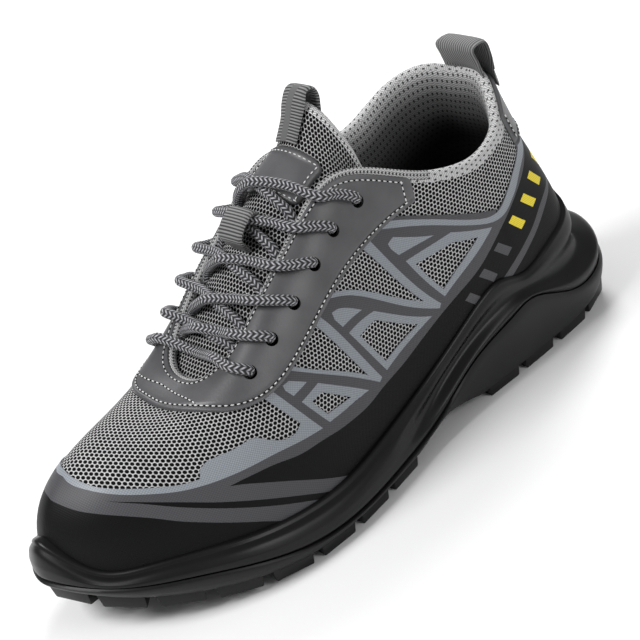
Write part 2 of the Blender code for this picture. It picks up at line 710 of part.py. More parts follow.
def tongue_rows():
    """The tongue's outer face, from its end under the vamp to its free top."""
    first = ring_at_rim(THROAT_END * GRADE * MM, 1)
    last = ring_at_rim(THROAT_END * GRADE * MM, -1)
    share = np.linspace(0, 1, 2 * len(TONGUE_FLANK) + TONGUE_ARCH)
    side = np.abs(2 * share - 1) ** 6
    t = first + share * (last - first)
    rows = []
    for depth in TONGUE_FRONT_DEPTHS:
        depths = depth + (TONGUE_FLANK[0] - depth) * side
        rows.append(under_upper(t, depths * GRADE * MM, TONGUE_PLAY))
    for row in TONGUE_ROWS:
        lateral, medial = tongue_flanks(row.rim_along)
        arch = tongue_point(row.rim_along, ARCH_SHARES)
        rows.append(np.concatenate([lateral, arch, medial[::-1]]))
    return rows


# Straps and laces


def strap_object(name, rows, finish, collection):
    made = new_object(name, open_sheet(name, rows), finish, collection)
    solidify(made, WEBBING, 0)
    return made


def tongue_loop_rows():
    """A strap up the tongue's front, over its top and back down to it."""
    share = PULL_SHARES
    foot, top = PULL_ROWS[-1], TONGUE_ROWS[-1].rim_along
    clear = 2 * FIT_GAP + WEBBING / 2
    behind = -TONGUE_THICKNESS - 3 * clear
    face = tongue_normal(top, share)
    edge = tongue_point(top, share)
    up = edge - tongue_point(foot, share)
    up = up.mean(axis=0) / np.linalg.norm(up.mean(axis=0))
    level = edge.copy()
    level[:, 1:] = (1 - STRAP_FLAT) * edge[:, 1:] + STRAP_FLAT * edge[len(edge) // 2, 1:]
    front = face.mean(axis=0) / np.linalg.norm(face.mean(axis=0))
    return [above_tongue(along, share, clear) for along in PULL_ROWS] + [
        edge + face * 1.8 * clear,
        level + front * 2 * clear + up * 0.6 * TONGUE_LOOP_RISE,
        level + front * 2 * clear + up * TONGUE_LOOP_RISE,
        level + front * behind + up * TONGUE_LOOP_RISE,
        level + front * behind + up * 0.6 * TONGUE_LOOP_RISE,
        level + front * behind + up * 0.15 * TONGUE_LOOP_RISE,
    ]


def keeper_rows():
    """A strap along the tongue that bridges a lace crossing."""
    share = KEEPER_SHARES
    clear = FIT_GAP + WEBBING / 2
    heights = [clear, KEEPER_RISE, KEEPER_RISE, clear]
    return [above_tongue(along, share, height) for along, height in zip(KEEPER_ROWS, heights)]


def heel_loop_rows():
    """A strap up the heel tab, over and down to the rim."""
    t = np.linspace(-HEEL_LOOP_REACH, HEEL_LOOP_REACH, 5)
    clear = 3 * FIT_GAP + OVERLAY + WEBBING / 2
    hem = []
    for depth in (HEEL_LOOP_HEM, OVERLAY_EDGE):
        v = rib_share(t, depth)
        hem.append(upper_point(t, v) + upper_normal(t, v) * clear)
    rim = upper_point(t, 1)
    level = rim.copy()
    level[:, 1:] = (1 - STRAP_FLAT) * rim[:, 1:] + STRAP_FLAT * rim[len(rim) // 2, 1:]
    up = np.array([0, -0.25, 0.97])
    toe_way = np.array([0, -1.0, 0])
    return hem + [
        level - toe_way * 1.1 * clear + up * 0.55 * HEEL_LOOP_RISE,
        level - toe_way * 1.2 * clear + up * HEEL_LOOP_RISE,
        level + toe_way * 1.1 * clear + up * HEEL_LOOP_RISE,
        level + toe_way * 1.3 * clear + up * 0.55 * HEEL_LOOP_RISE,
        rim + toe_way * 0.6 * clear + np.array([0, 0, FIT_GAP + 0.5 * WEBBING]),
    ]


def strand_points(row, side):
    """One lace strand: from its eyelet over the near rim and across the throat to the far rim."""
    above = 4 * FIT_GAP + OVERLAY + LACE_RADIUS
    start = ring_at_rim(row.rim_along * GRADE * MM, side)
    edge = ring_at_rim(row.near_rim * GRADE * MM, side)
    over = LACE_RADIUS + 3 * FIT_GAP + (OVERLAY if row is EYELETS[0] else 0)
    cross = over + (LACE_OVER if side > 0 else 0)
    points = [
        on_eyestay(start, row.depth * GRADE * MM, above),
        on_eyestay(edge, 3 * MM, above + 0.5 * LACE_RADIUS),
    ]
    places = ((LACE_NEAR, cross), (LACE_MIDDLE, cross), (LACE_FAR, over), (LACE_END, over))
    for share, height in places:
        along = row.near_rim + share * (row.far_rim - row.near_rim)
        points.append(above_tongue(along, share if side > 0 else 1 - share, height)[0])
    return points


def lace_crossing(name, row, finish, collection, cutters):
    points = strand_points(row, 1)
    made = new_object(name, tube_mesh(name, points, LACE_RADIUS), finish, collection)
    other = name + "_medial"
    points = strand_points(row, -1)
    under = new_object(other, tube_mesh(other, points, LACE_RADIUS), finish, cutters)
    boolean(made, under, "UNION")


def lace_bar(finish, collection):
    row = EYELETS[-1]
    above = 4 * FIT_GAP + OVERLAY + LACE_RADIUS
    points = [above_tongue(row.near_rim, 0.5, LACE_RADIUS + 2 * FIT_GAP)[0]]
    for side in (1, -1):
        edge, hole = (ring_at_rim(along * GRADE * MM, side) for along in (row.near_rim, row.rim_along))
        run = [
            on_eyestay(edge, 3 * MM, above + 0.5 * LACE_RADIUS),
            on_eyestay(hole, row.depth * GRADE * MM, above),
        ]
        points = points + run if side < 0 else run[::-1] + points
    new_object("lace_bar", tube_mesh("lace_bar", points, LACE_RADIUS), finish, collection)


def build():
    for old in list(bpy.data.objects):
        bpy.data.objects.remove(old)
    parts = bpy.data.collections.new("safety_shoe")
    cutters = bpy.data.collections.new("cutters")
    for collection in (parts, cutters):
        bpy.context.scene.collection.children.link(collection)

    rubber = material("black rubber", (0.012, 0.012, 0.013), 0.62)
    foam = material("black foam", (0.016, 0.016, 0.017), 0.5)
    cloth = material("grey mesh cloth", (0.2, 0.2, 0.21), 0.8)
    leather = material("dark grey leather", (0.09, 0.09, 0.095), 0.45)
    webbing = material("ribbed grey webbing", (0.06, 0.06, 0.06), 0.7)
    cord = material("braided grey lace", (0.07, 0.07, 0.075), 0.75)

    outsole = new_object("outsole", outsole_mesh(), rubber, parts)
    lugs = new_object("lugs", lugs_mesh(), rubber, cutters)
    boolean(outsole, lugs, "UNION")
    new_object("midsole", midsole_mesh(), foam, parts)
    new_object("insole", insole_mesh(), cloth, parts)

    holes = eyelet_holes(cutters)
    upper = upper_object(cloth, parts)
    eyestay = eyestay_object(leather, parts)
    boolean(upper, holes, "DIFFERENCE")
    boolean(eyestay, holes, "DIFFERENCE")
    heel_tab_object(leather, parts)

    tongue = new_object("tongue", open_sheet("tongue", tongue_rows()), cloth, parts)
    solidify(tongue, TONGUE_THICKNESS, -1, even=False)
    patch_rows = [above_tongue(along, PATCH_SHARES, FIT_GAP) for along in PATCH_ROWS]
    patch = new_object("tongue_patch", open_sheet("tongue_patch", patch_rows), leather, parts)
    solidify(patch, OVERLAY, 1)
    strap_object("tongue_loop", tongue_loop_rows(), webbing, parts)
    strap_object("lace_keeper", keeper_rows(), webbing, parts)
    strap_object("heel_loop", heel_loop_rows(), webbing, parts)

    for number, row in enumerate(EYELETS[:-1], 1):
        lace_crossing(f"lace_cross_{number}", row, cord, parts, cutters)
    lace_bar(cord, parts)


build()
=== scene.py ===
# %% [markdown]
# # A low safety shoe, dressed from its solids
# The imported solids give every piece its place. This lesson repeats the short tables behind them at a
# finer pitch, adds the cloth, film, stitches, laces and moulded detail, and sets a studio round them.

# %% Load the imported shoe
import math

import bmesh
import bpy
import numpy as np
from mathutils import Matrix, Vector
from mathutils.bvhtree import BVHTree
from mathutils.geometry import delaunay_2d_cdt
from mathutils.kdtree import KDTree


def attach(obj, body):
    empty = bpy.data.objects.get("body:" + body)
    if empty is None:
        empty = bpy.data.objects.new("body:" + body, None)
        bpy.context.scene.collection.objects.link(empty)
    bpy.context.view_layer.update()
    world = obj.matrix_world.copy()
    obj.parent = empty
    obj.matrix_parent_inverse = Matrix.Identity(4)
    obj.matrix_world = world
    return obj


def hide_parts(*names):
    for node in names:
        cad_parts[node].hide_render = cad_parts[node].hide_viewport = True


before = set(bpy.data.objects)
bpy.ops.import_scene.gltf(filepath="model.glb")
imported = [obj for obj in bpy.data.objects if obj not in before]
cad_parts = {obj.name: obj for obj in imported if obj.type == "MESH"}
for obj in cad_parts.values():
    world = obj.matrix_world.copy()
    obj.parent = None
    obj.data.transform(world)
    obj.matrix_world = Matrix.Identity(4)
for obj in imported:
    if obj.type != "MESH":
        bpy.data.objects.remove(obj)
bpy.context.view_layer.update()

print("solids:", ", ".join(sorted(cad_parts)))

# %% [markdown]
# ## The last
# A shoe is built round a last, so all its pieces share one set of stations round the foot. The columns
# below are master millimetres, graded to the size on the floor, and each becomes a closed curve in t.
# Lengths along the foot run from heel to toe, and lengths across it are positive on the outer side.

# %% Sizes and station tables
MM = 0.001
GRADE = 0.97
GRADED = GRADE * MM  # one master millimetre at this size
FIT_GAP = 0.35 * MM
UPPER_WALL, COLLAR_PAD, PAD_DEPTH = 2.2 * MM, 7.5 * MM, 42 * MM
OVERLAY, WEBBING, LACE_RADIUS = 1.4 * MM, 1.7 * MM, 2.2 * MM
TAB_DEPTH, TAB_HALF, TAB_ROUNDING = 25 * MM, 2.3, 0.3  # the heel tab: depth, stations to its end, curve

SOLE_COLUMNS = "along across taper seam lip channel set_back inset".split()
SOLE_STATIONS = [
    (-17, 1, 7, 25, 60, 9, 19, 26),
    (-9, 24, 6, 22, 58.5, 7, 13, 20),
    (5, 35, 4, 18, 50, 4, 8, 13),
    (26, 40, 3, 20, 45, 2.5, 5, 10),
    (48, 41, 2.5, 30, 41.5, 1, 3, 8.5),
    (66, 41.5, 2.5, 29, 47, 1.5, 2, 8),
    (92, 41.5, 2.5, 23, 38.5, 2.5, 2, 7.5),
    (120, 43.5, 2.5, 12, 29, 3, 2, 7.5),
    (148, 49, 2, 8.5, 24, 2.5, 2.5, 8),
    (178, 55, 2, 8, 21.5, 2, 3, 8.5),
    (206, 56, 2, 9.5, 22.5, 2, 3.5, 8.5),
    (232, 51.5, 2.5, 15, 26, 1.5, 3, 8),
    (255, 41, 3, 20.5, 29, 1, 3, 7.5),
    (274, 28, 3.5, 24, 30.5, 0.5, 2.5, 7),
    (288, 12, 4, 27, 33, 0, 2, 6.5),
    (296, -6, 4.5, 29, 44, 0, 2, 6.5),
    (296, -19, 4.5, 29, 45.5, 0, 2, 6.5),
    (287, -35, 4, 27, 37, 0, 2, 6.5),
    (268, -48, 3, 22, 30, 0.5, 2.5, 7.5),
    (240, -53, 2.5, 16, 27, 1.5, 3, 8),
    (206, -52, 2, 9.5, 22.5, 2, 3.5, 8.5),
    (172, -44, 2, 8, 23, 2.5, 3, 8.5),
    (135, -36.5, 2.5, 10, 28, 3, 2, 8),
    (98, -35.5, 2.5, 21, 39, 2.5, 2, 7.5),
    (66, -38, 2.5, 29, 47, 1.5, 2, 8),
    (36, -38.5, 2.5, 24, 43, 2, 4, 9),
    (6, -32.5, 4, 18, 50, 4, 8, 13),
    (-10, -20, 6, 22, 58.5, 7, 13, 20),
]

UPPER_COLUMNS = "foot rim_along rim_across rim_height rise bulge reach drop padding eyestay".split()
UPPER_STATIONS = [
    (27, 14, 0, 121, 34, 9, 1.5, 36, 1, 0),
    (26.5, 18, 12, 118.5, 34, 8.5, 4, 34, 1, 0),
    (26, 26, 22, 110.5, 32, 8, 5.5, 30, 1, 0),
    (25.5, 36, 29.5, 105, 30, 4, 2, 27, 1, 0),
    (25, 50, 33, 102, 30, 3.5, 2, 26, 1, 0),
    (24.5, 65, 34, 103.5, 30, 3.5, 2, 26, 1, 0),
    (23, 86, 31.5, 111.5, 32, 4, 2.5, 27, 0.7, 8),
    (20, 104, 25.5, 122, 34, 4, 5, 24, 0.2, 22),
    (17, 124, 19.5, 127, 36, 3, 14, 15, 0, 36.5),
    (15.5, 148, 19, 115, 34, 2, 19, 12, 0, 40.5),
    (15.5, 171, 20.5, 101.5, 33, 1, 22, 10, 0, 40.5),
    (17.5, 190, 21, 89, 33, 0, 24, 9, 0, 29),
    (20.5, 201, 17.5, 82, 36, 0, 30, 8, 0, 20.5),
    (24, 206.5, 12, 78.5, 40, 0, 36, 6, 0, 17.3),
    (27.5, 208.5, 6, 77, 42, 0, 42, 4, 0, 17),
    (30, 209, 1, 77, 42, 0, 44, 3, 0, 17),
    (30, 208.5, -4, 77.5, 42, 0, 44, 3, 0, 17),
    (28, 206.5, -9.5, 79.5, 40, 0, 34, 6, 0, 18),
    (22, 200.5, -15, 83.5, 34, 0, 24, 9, 0, 20),
    (18, 187, -20, 91.5, 31, 0, 15, 12, 0, 24),
    (15.5, 167, -22.5, 104, 31, 1, 13, 14, 0, 29),
    (15.5, 145, -24.5, 116.5, 32, 2, 12, 16, 0, 31),
    (18.5, 122, -26.5, 127, 36, 2, 8, 22, 0, 30),
    (22.5, 98, -30.5, 121, 36, 3, 4, 27, 0.4, 17),
    (24.5, 72, -32, 114, 32, 4, 2.5, 28, 1, 0),
    (25, 46, -31, 121, 32, 4, 1, 30, 1, 0),
    (26, 27, -22.5, 125, 34, 6, 2, 32, 1, 0),
    (26.5, 18, -12, 122.5, 34, 8, 3, 34, 1, 0),
]

TREAD_ROWS = [
    (-17, 4), (-6, 1), (4, 0), (90, 0), (102, 2.5), (114, 4), (126, 2.5),
    (140, 0), (205, 0), (228, 2), (252, 6), (276, 12), (297, 19),
]
EYELETS = [  # the rim's place, the depth below it, and where the strand passes the near and the far rim
    (113, 11, 130, 142), (126, 18, 144, 156), (139, 21, 160, 170),
    (154, 22, 174, 185), (169, 22, 187, 192), (182, 22, 197.5, 197.5),
]
TONGUE_COLUMNS = "rim_along crown lean shoulder play".split()
TONGUE_ROWS = [
    (196, 2, 0.4, 0.8, 1.7),
    (184, 4.5, 0.4, 0.8, 1.7),
    (170, 6.5, 0.4, 0.8, 1.7),
    (156, 8, 0.4, 0.8, 1.7),
    (142, 9, 0.4, 0.8, 1.7),
    (134, 9.3, 0.39, 0.8, 1.8),
    (127, 9.8, 0.37, 0.78, 1.9),
    (120, 11, 0.34, 0.75, 2.1),
    (114, 17, 0.26, 0.66, 2.6),
    (109, 25.5, 0.2, 0.58, 3.6),
    (105, 32, 0.18, 0.52, 4.4),
]
print(len(SOLE_STATIONS), "stations,", len(EYELETS), "pairs of lace holes,", len(TONGUE_ROWS), "tongue rows")

# %% Curves through the tables


def closed_spline(values):
    """A smooth closed curve through one column of station values, one unit of t a station."""
    values = np.asarray(values, float)
    count = len(values)
    identity = np.eye(count)
    system = 4 * identity + np.roll(identity, 1, axis=1) + np.roll(identity, -1, axis=1)
    slopes = np.linalg.solve(system, 3 * (np.roll(values, -1) - np.roll(values, 1)))

    def at(t):
        whole = np.floor(t).astype(int)
        part = t - whole
        here, after = whole % count, (whole + 1) % count
        square, cube = part**2, part**3
        return (
            (2 * cube - 3 * square + 1) * values[here]
            + (cube - 2 * square + part) * slopes[here]
            + (3 * square - 2 * cube) * values[after]
            + (cube - square) * slopes[after]
        )

    return at


def steady_curve(places, values):
    """A curve through a profile's rows that never overshoots them."""
    places, values = np.asarray(places, float), np.asarray(values, float)
    grades = np.diff(values) / np.diff(places)
    slopes = np.zeros_like(values)
    for i in range(1, len(values) - 1):
        before, after = grades[i - 1], grades[i]
        if before * after > 0:
            slopes[i] = 2 * before * after / (before + after)
    slopes[0], slopes[-1] = grades[0], grades[-1]

    def at(place):
        place = np.clip(place, places[0], places[-1])
        i = np.clip(np.searchsorted(places, place) - 1, 0, len(places) - 2)
        span = places[i + 1] - places[i]
        part = (place - places[i]) / span
        square, cube = part**2, part**3
        return (
            (2 * cube - 3 * square + 1) * values[i]
            + (cube - 2 * square + part) * slopes[i] * span
            + (3 * square - 2 * cube) * values[i + 1]
            + (cube - square) * slopes[i + 1] * span
        )

    return at


def table_curves(columns, rows):
    """Each named column as a closed curve, graded and in metres; padding is a share."""
    return {
        name: closed_spline([row[i] * (1 if name == "padding" else GRADED) for row in rows])
        for i, name in enumerate(columns)
    }


SOLE = table_curves(SOLE_COLUMNS, SOLE_STATIONS)
UPPER = table_curves(UPPER_COLUMNS, UPPER_STATIONS)
STATIONS = len(SOLE_STATIONS)
TREAD = steady_curve(*(np.array(TREAD_ROWS).T * GRADED))
TONGUE = {
    name: steady_curve([row[0] for row in TONGUE_ROWS[::-1]], [row[i] for row in TONGUE_ROWS[::-1]])
    for i, name in enumerate(TONGUE_COLUMNS)
}
FINE_RING = np.linspace(0, STATIONS, 1320, endpoint=False)
CENTRE_ALONG = (SOLE["along"](FINE_RING).max() + SOLE["along"](FINE_RING).min()) / 2
CENTRE_ACROSS = (SOLE["across"](FINE_RING).max() + SOLE["across"](FINE_RING).min()) / 2
sole_size = [round(np.ptp(SOLE[name](FINE_RING)) / MM, 1) for name in ("along", "across")]
print("sole", sole_size[0], "x", sole_size[1], "mm")

# %% The upper's surface
RIB_SHARES = np.linspace(0, 1, 81)  # where each rib is measured
FOOT_SHARE = 0.25  # the height at which distances round the upper are measured


def unit(vectors):
    return vectors / np.linalg.norm(vectors, axis=-1)[..., None]


def place(along, across, height):
    along, across, height = np.broadcast_arrays(along, across, height)
    return np.stack([across - CENTRE_ACROSS, CENTRE_ALONG - along, height], axis=-1)


def outward(t):
    """The outline's outward direction in plan."""
    step = 0.02
    along = SOLE["along"](t + step) - SOLE["along"](t - step)
    across = SOLE["across"](t + step) - SOLE["across"](t - step)
    return unit(np.stack([along, across, np.zeros_like(along)], axis=-1))


def outline(t, offset, height):
    """The sole's outline moved outwards by an offset, at a height."""
    return place(SOLE["along"](t), SOLE["across"](t), height) + outward(t) * np.asarray(offset)[..., None]


def upper_point(t, v):
    """The upper's outer face: t runs round the shoe and v from the foot (0) to the rim (1)."""
    t, v = np.broadcast_arrays(np.asarray(t, float), np.asarray(v, float))
    foot = outline(t, -SOLE["inset"](t), UPPER["foot"](t))
    rim = place(UPPER["rim_along"](t), UPPER["rim_across"](t), UPPER["rim_height"](t))
    up = np.array([0, 0, 1.0])
    away = (foot - rim) * np.array([1, 1, 0])
    away /= np.maximum(np.linalg.norm(away, axis=-1), MM)[..., None]
    low = foot + up * UPPER["rise"](t)[..., None] + outward(t) * UPPER["bulge"](t)[..., None]
    high = rim + away * UPPER["reach"](t)[..., None] - up * UPPER["drop"](t)[..., None]
    v = v[..., None]
    return (1 - v) ** 3 * foot + 3 * (1 - v) ** 2 * v * low + 3 * (1 - v) * v**2 * high + v**3 * rim


def upper_normal(t, v):
    step = 0.01
    round_way = upper_point(t + step, v) - upper_point(t - step, v)
    up_way = upper_point(t, np.minimum(v + step, 1)) - upper_point(t, np.maximum(v - step, 0))
    return unit(np.cross(up_way, round_way))


def off_upper(t, v, height):
    return upper_point(t, v) + upper_normal(t, v) * np.asarray(height)[..., None]


def rib_depths(t):
    """Depths below the rim along the rib at each t."""
    ribs = upper_point(t[:, None], RIB_SHARES[None, :])
    steps = np.linalg.norm(np.diff(ribs, axis=1), axis=-1)
    return np.concatenate([np.cumsum(steps[:, ::-1], axis=1)[:, ::-1], np.zeros((len(ribs), 1))], 1)


def rib_share(t, depth):
    """The v of the point that lies a given depth below the rim, measured along its rib."""
    t = np.atleast_1d(t)
    depths = np.broadcast_to(depth, len(t))
    return np.array([np.interp(-d, -below, RIB_SHARES) for d, below in zip(depths, rib_depths(t))])


def tab_edge(t, depth):
    """The heel tab's lower edge, which curves up towards its ends."""
    return depth * (1 - TAB_ROUNDING * (t / TAB_HALF) ** 2)


def lip_share(t):
    """The v at which the upper passes the midsole's lip."""
    shares = np.linspace(0, 0.7, 141)
    heights = upper_point(np.atleast_1d(t)[:, None], shares[None, :])[..., 2]
    return np.array([np.interp(h, row, shares) for h, row in zip(SOLE["lip"](t), heights)])


TOE_STATION = 16


def ring_at_rim(rim_along, side):
    """The t on one side of the throat where the rim is this far along the foot."""
    t = np.linspace(3 if side > 0 else STATIONS - 3, TOE_STATION - 0.5 * side, 600)
    return float(np.interp(rim_along, UPPER["rim_along"](t), t))


def on_eyestay(t, depth, above):
    """A point beside the throat, standing off the upper's outer face."""
    t = np.array([t])
    return off_upper(t, rib_share(t, depth), np.array([above]))[0]


print("rim stands", round(upper_point(FINE_RING, 1)[:, 2].max() / MM, 1), "mm high at its highest")

# %% [markdown]
# ## Camera
# The photograph was taken from above the outer side, with the camera rolled so that the toe points
# down. A long lens keeps the shoe's proportions, and a small lens shift frames it as in the picture.
# The same camera later carries outlines from the picture on to the shoe's own surface.

# %% Camera and the ray through a pixel
FRAME_PIXELS = 640
CAMERA_AZIMUTH, CAMERA_ELEVATION, CAMERA_ROLL = (math.radians(x) for x in (56.79, 28.61, -18.65))
CAMERA_DISTANCE = 1.0305 * GRADE
FOCAL_PIXELS = 2404.28
SHIFT_PIXELS = (23.52, 20.28)
SIDE_MIDDLE = np.array([420.0, 280.0])  # pixel in the middle of the outer side
SENSOR = 36

aim = Vector((-CENTRE_ACROSS, CENTRE_ALONG - 0.150 * GRADE, 0.060 * GRADE))
back = Vector((
    math.sin(CAMERA_AZIMUTH) * math.cos(CAMERA_ELEVATION),
    -math.cos(CAMERA_AZIMUTH) * math.cos(CAMERA_ELEVATION),
    math.sin(CAMERA_ELEVATION),
))
turn = back.to_track_quat("Z", "Y").to_matrix() @ Matrix.Rotation(CAMERA_ROLL, 3, "Z")


def in_scene(name, data):
    """A new object in the scene."""
    made = bpy.data.objects.new(name, data)
    bpy.context.scene.collection.objects.link(made)
    return made


camera = in_scene("camera", bpy.data.cameras.new("camera"))
camera.matrix_world = Matrix.Translation(aim + back * CAMERA_DISTANCE) @ turn.to_4x4()
camera.data.sensor_width = SENSOR
camera.data.lens = FOCAL_PIXELS / FRAME_PIXELS * SENSOR
camera.data.shift_x, camera.data.shift_y = (shift / FRAME_PIXELS for shift in SHIFT_PIXELS)
bpy.context.scene.camera = camera


def pixel_ray(pixel):
    """The direction from the camera through a pixel of the 640 by 640 picture."""
    right = pixel[0] - FRAME_PIXELS / 2 + SHIFT_PIXELS[0]
    up = FRAME_PIXELS / 2 - pixel[1] + SHIFT_PIXELS[1]
    return (turn @ Vector((right, up, -FOCAL_PIXELS))).normalized()


class Chart:
    """A grid of points over two parameters that a pixel's ray can be put on."""

    def __init__(self, first, second, points):
        self.first, self.second = first, second
        self.columns = len(second)
        corners = [Vector(p) for p in points.reshape(-1, 3)]
        faces = []
        for i in range(len(first) - 1):
            for j in range(self.columns - 1):
                k = i * self.columns + j
                faces += [(k, k + self.columns, k + 1), (k + 1, k + self.columns, k + self.columns + 1)]
        self.corners, self.faces = corners, faces
        self.tree = BVHTree.FromPolygons(corners, faces)

    def at(self, pixel):
        spot, _, index, _ = self.tree.ray_cast(camera.matrix_world.translation, pixel_ray(pixel))
        if spot is None:
            return None
        a, b, c = (np.array(self.corners[k]) for k in self.faces[index])
        share = np.linalg.lstsq(np.stack([b - a, c - a], 1), np.array(spot) - a, rcond=None)[0]
        pairs = [(self.first[k // self.columns], self.second[k % self.columns]) for k in self.faces[index]]
        (p, q, r) = (np.array(pair) for pair in pairs)
        return p + share[0] * (q - p) + share[1] * (r - p)


chart_t, chart_v = np.linspace(-2, STATIONS - 4, 500), np.linspace(0, 1, 61)
UPPER_CHART = Chart(chart_t, chart_v, upper_point(chart_t[:, None], chart_v[None, :]))
print("lens", round(camera.data.lens, 1), "mm; middle of the side at", UPPER_CHART.at(SIDE_MIDDLE).round(2))

# %% [markdown]
# ## Mesh helpers
# Almost every piece of a shoe is a skin that closes on itself: a wall, a strap, a cord. One lofting
# helper joins loops of points into such a skin, with a UV map in metres so that a weave keeps its
# real size. Smooth shading with a sharp limit keeps cut edges crisp.

# %% Loft, finish and hand over a piece
SPLINE_STEPS = 24  # between two points of a smooth curve
DOUBLED = 0.002 * MM  # points nearer than this are one


def set_pattern(mesh, corners):
    """Gives a mesh its UV map: one place a face corner, in metres."""
    mesh.uv_layers.new(name="pattern").data.foreach_set("uv", corners.astype(np.float32).ravel())


def corner_owners(mesh):
    """The index of the point at each face corner."""
    owner = np.zeros(len(mesh.loops), np.int32)
    mesh.loops.foreach_get("vertex_index", owner)
    return owner


def loft(name, loops, uv=None, ring=False, slots=None, sharp=None):
    """A closed skin through loops of points. uv has one more column than the loops have points."""
    loops = np.asarray(loops, float)
    rows, count = loops.shape[:2]
    i, j = np.meshgrid(np.arange(rows if ring else rows - 1), np.arange(count), indexing="ij")
    after, beside = (i + 1) % rows, (j + 1) % count
    quads = np.stack([i * count + j, after * count + j, after * count + beside, i * count + beside], -1)
    faces = quads.reshape(-1, 4).tolist()
    corners = []
    if uv is not None:
        around = [uv[i, j], uv[i + 1, j], uv[i + 1, j + 1], uv[i, j + 1]]
        corners.append(np.stack(around, -2).reshape(-1, 2))
    if not ring:
        for row in (0, rows - 1):
            faces.append([row * count + k for k in range(count)])
            if uv is not None:
                corners.append(uv[row, :-1])
    mesh = bpy.data.meshes.new(name)
    mesh.from_pydata(loops.reshape(-1, 3).tolist(), [], faces)
    if uv is not None:
        set_pattern(mesh, np.concatenate(corners))
    if slots is not None:
        kept = np.zeros(len(faces), np.int32)
        kept[: quads.shape[0] * quads.shape[1]] = np.broadcast_to(slots, i.shape).ravel()
        mesh.polygons.foreach_set("material_index", kept)
    return smooth(mesh, sharp)


def smooth(mesh, sharp):
    """Merges doubled points, turns the faces outwards and shades the mesh smooth."""
    bm = bmesh.new()
    bm.from_mesh(mesh)
    bmesh.ops.remove_doubles(bm, verts=bm.verts, dist=DOUBLED)
    bmesh.ops.recalc_face_normals(bm, faces=bm.faces)
    bm.to_mesh(mesh)
    bm.free()
    mesh.shade_smooth()
    if sharp:
        mesh.set_sharp_from_angle(angle=math.radians(sharp))
    return mesh


def piece(name, mesh, finishes, replaced=()):
    """Puts a mesh in the scene as a piece of the shoe."""
    made = in_scene(name, mesh)
    for finish in finishes:
        mesh.materials.append(finish)
    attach(made, "root")
    if replaced:
        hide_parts(*replaced)
    mesh.calc_loop_triangles()
    print(f"{name}: {len(mesh.loop_triangles)} triangles")
    return made


def applied(target):
    """The mesh of an object with its modifiers applied."""
    graph = bpy.context.evaluated_depsgraph_get()
    mesh = bpy.data.meshes.new_from_object(target.evaluated_get(graph))
    target.modifiers.clear()
    return mesh


def run_along(points):
    """Distance along a line of points, from its start."""
    return np.concatenate([[0], np.cumsum(np.linalg.norm(np.diff(points, axis=0), axis=1))])


def smooth_through(points, step, closed=False):
    """Points at an even step along a smooth curve through a few points."""
    points = np.asarray(points, float)
    if closed:
        points = np.concatenate([points[-1:], points, points[:2]])
    else:
        points = np.concatenate([2 * points[:1] - points[1:2], points, 2 * points[-1:] - points[-2:-1]])
    gaps = np.linalg.norm(np.diff(points, axis=0), axis=1)
    knots = np.concatenate([[0], np.cumsum(gaps**0.5 + 1e-9)])

    def blend(first, last, a, b, t):
        return (last - t) / (last - first) * a + (t - first) / (last - first) * b

    dense = []
    for k in range(1, len(points) - 2):
        p, q = points[k - 1 : k + 3], knots[k - 1 : k + 3]
        t = np.linspace(q[1], q[2], SPLINE_STEPS, endpoint=False)[:, None]
        a = [blend(q[i], q[i + 1], p[i], p[i + 1], t) for i in range(3)]
        b = [blend(q[i], q[i + 2], a[i], a[i + 1], t) for i in range(2)]
        dense.append(blend(q[1], q[2], b[0], b[1], t))
    dense = np.concatenate(dense + [points[-2][None]])
    run = run_along(dense)
    spots = np.linspace(0, run[-1], max(2, round(run[-1] / step) + 1))
    return np.stack([np.interp(spots, run, dense[:, k]) for k in range(dense.shape[1])], 1)


print("helpers ready")

# %% [markdown]
# ## Finishes
# Each finish is a small node tree on the principled shader. Cloth and cords read the piece's own UV map,
# in metres, so that holes and ribs keep their pitch; moulded rubber and leather read Object coordinates.
# The holes of the mesh cloth are a staggered lattice: the nearer of two shifted grids gives the distance.

# %% Node helpers


def node(tree, kind, inputs=None, **settings):
    made = tree.nodes.new("ShaderNode" + kind)
    for key, value in settings.items():
        setattr(made, key, value)
    for key, value in (inputs or {}).items():
        if isinstance(value, bpy.types.NodeSocket):
            tree.links.new(value, made.inputs[key])
        else:
            made.inputs[key].default_value = value
    return made


def math_node(tree, operation, a, b=0.0, c=0.5):
    return node(tree, "Math", {0: a, 1: b, 2: c}, operation=operation).outputs[0]


def wave(tree, phase):
    """A sine wave of a phase in turns."""
    return math_node(tree, "SINE", math_node(tree, "MULTIPLY", phase, 2 * math.pi))


def lifted(tree, value):
    """From the range -1 to 1 to the range 0 to 1."""
    return math_node(tree, "MULTIPLY_ADD", value, 0.5, 0.5)


def multiplied(tree, a, b):
    return node(tree, "Mix", {0: 1.0, 6: a, 7: b}, data_type="RGBA", blend_type="MULTIPLY").outputs[2]


def vector_node(tree, operation, a, b=(0, 0, 0), c=(0, 0, 0)):
    made = node(tree, "VectorMath", {0: a, 1: b, 2: c}, operation=operation)
    return made.outputs["Value"] if operation == "LENGTH" else made.outputs[0]


def new_finish(name, roughness, sheen=0.0, specular=0.5):
    finish = bpy.data.materials.new(name)
    finish.use_nodes = True
    shader = finish.node_tree.nodes["Principled BSDF"]
    shader.inputs["Roughness"].default_value = roughness
    shader.inputs["Sheen Weight"].default_value = sheen
    shader.inputs["Specular IOR Level"].default_value = specular
    return finish, finish.node_tree, shader


def ramp(tree, factor, stops):
    made = node(tree, "ValToRGB", {0: factor})
    while len(made.color_ramp.elements) < len(stops):
        made.color_ramp.elements.new(0.5)
    for element, (place_on_ramp, colour) in zip(made.color_ramp.elements, stops):
        element.position = place_on_ramp
        element.color = (*colour, 1) if isinstance(colour, tuple) else (colour, colour, colour, 1)
    return made.outputs["Color"]


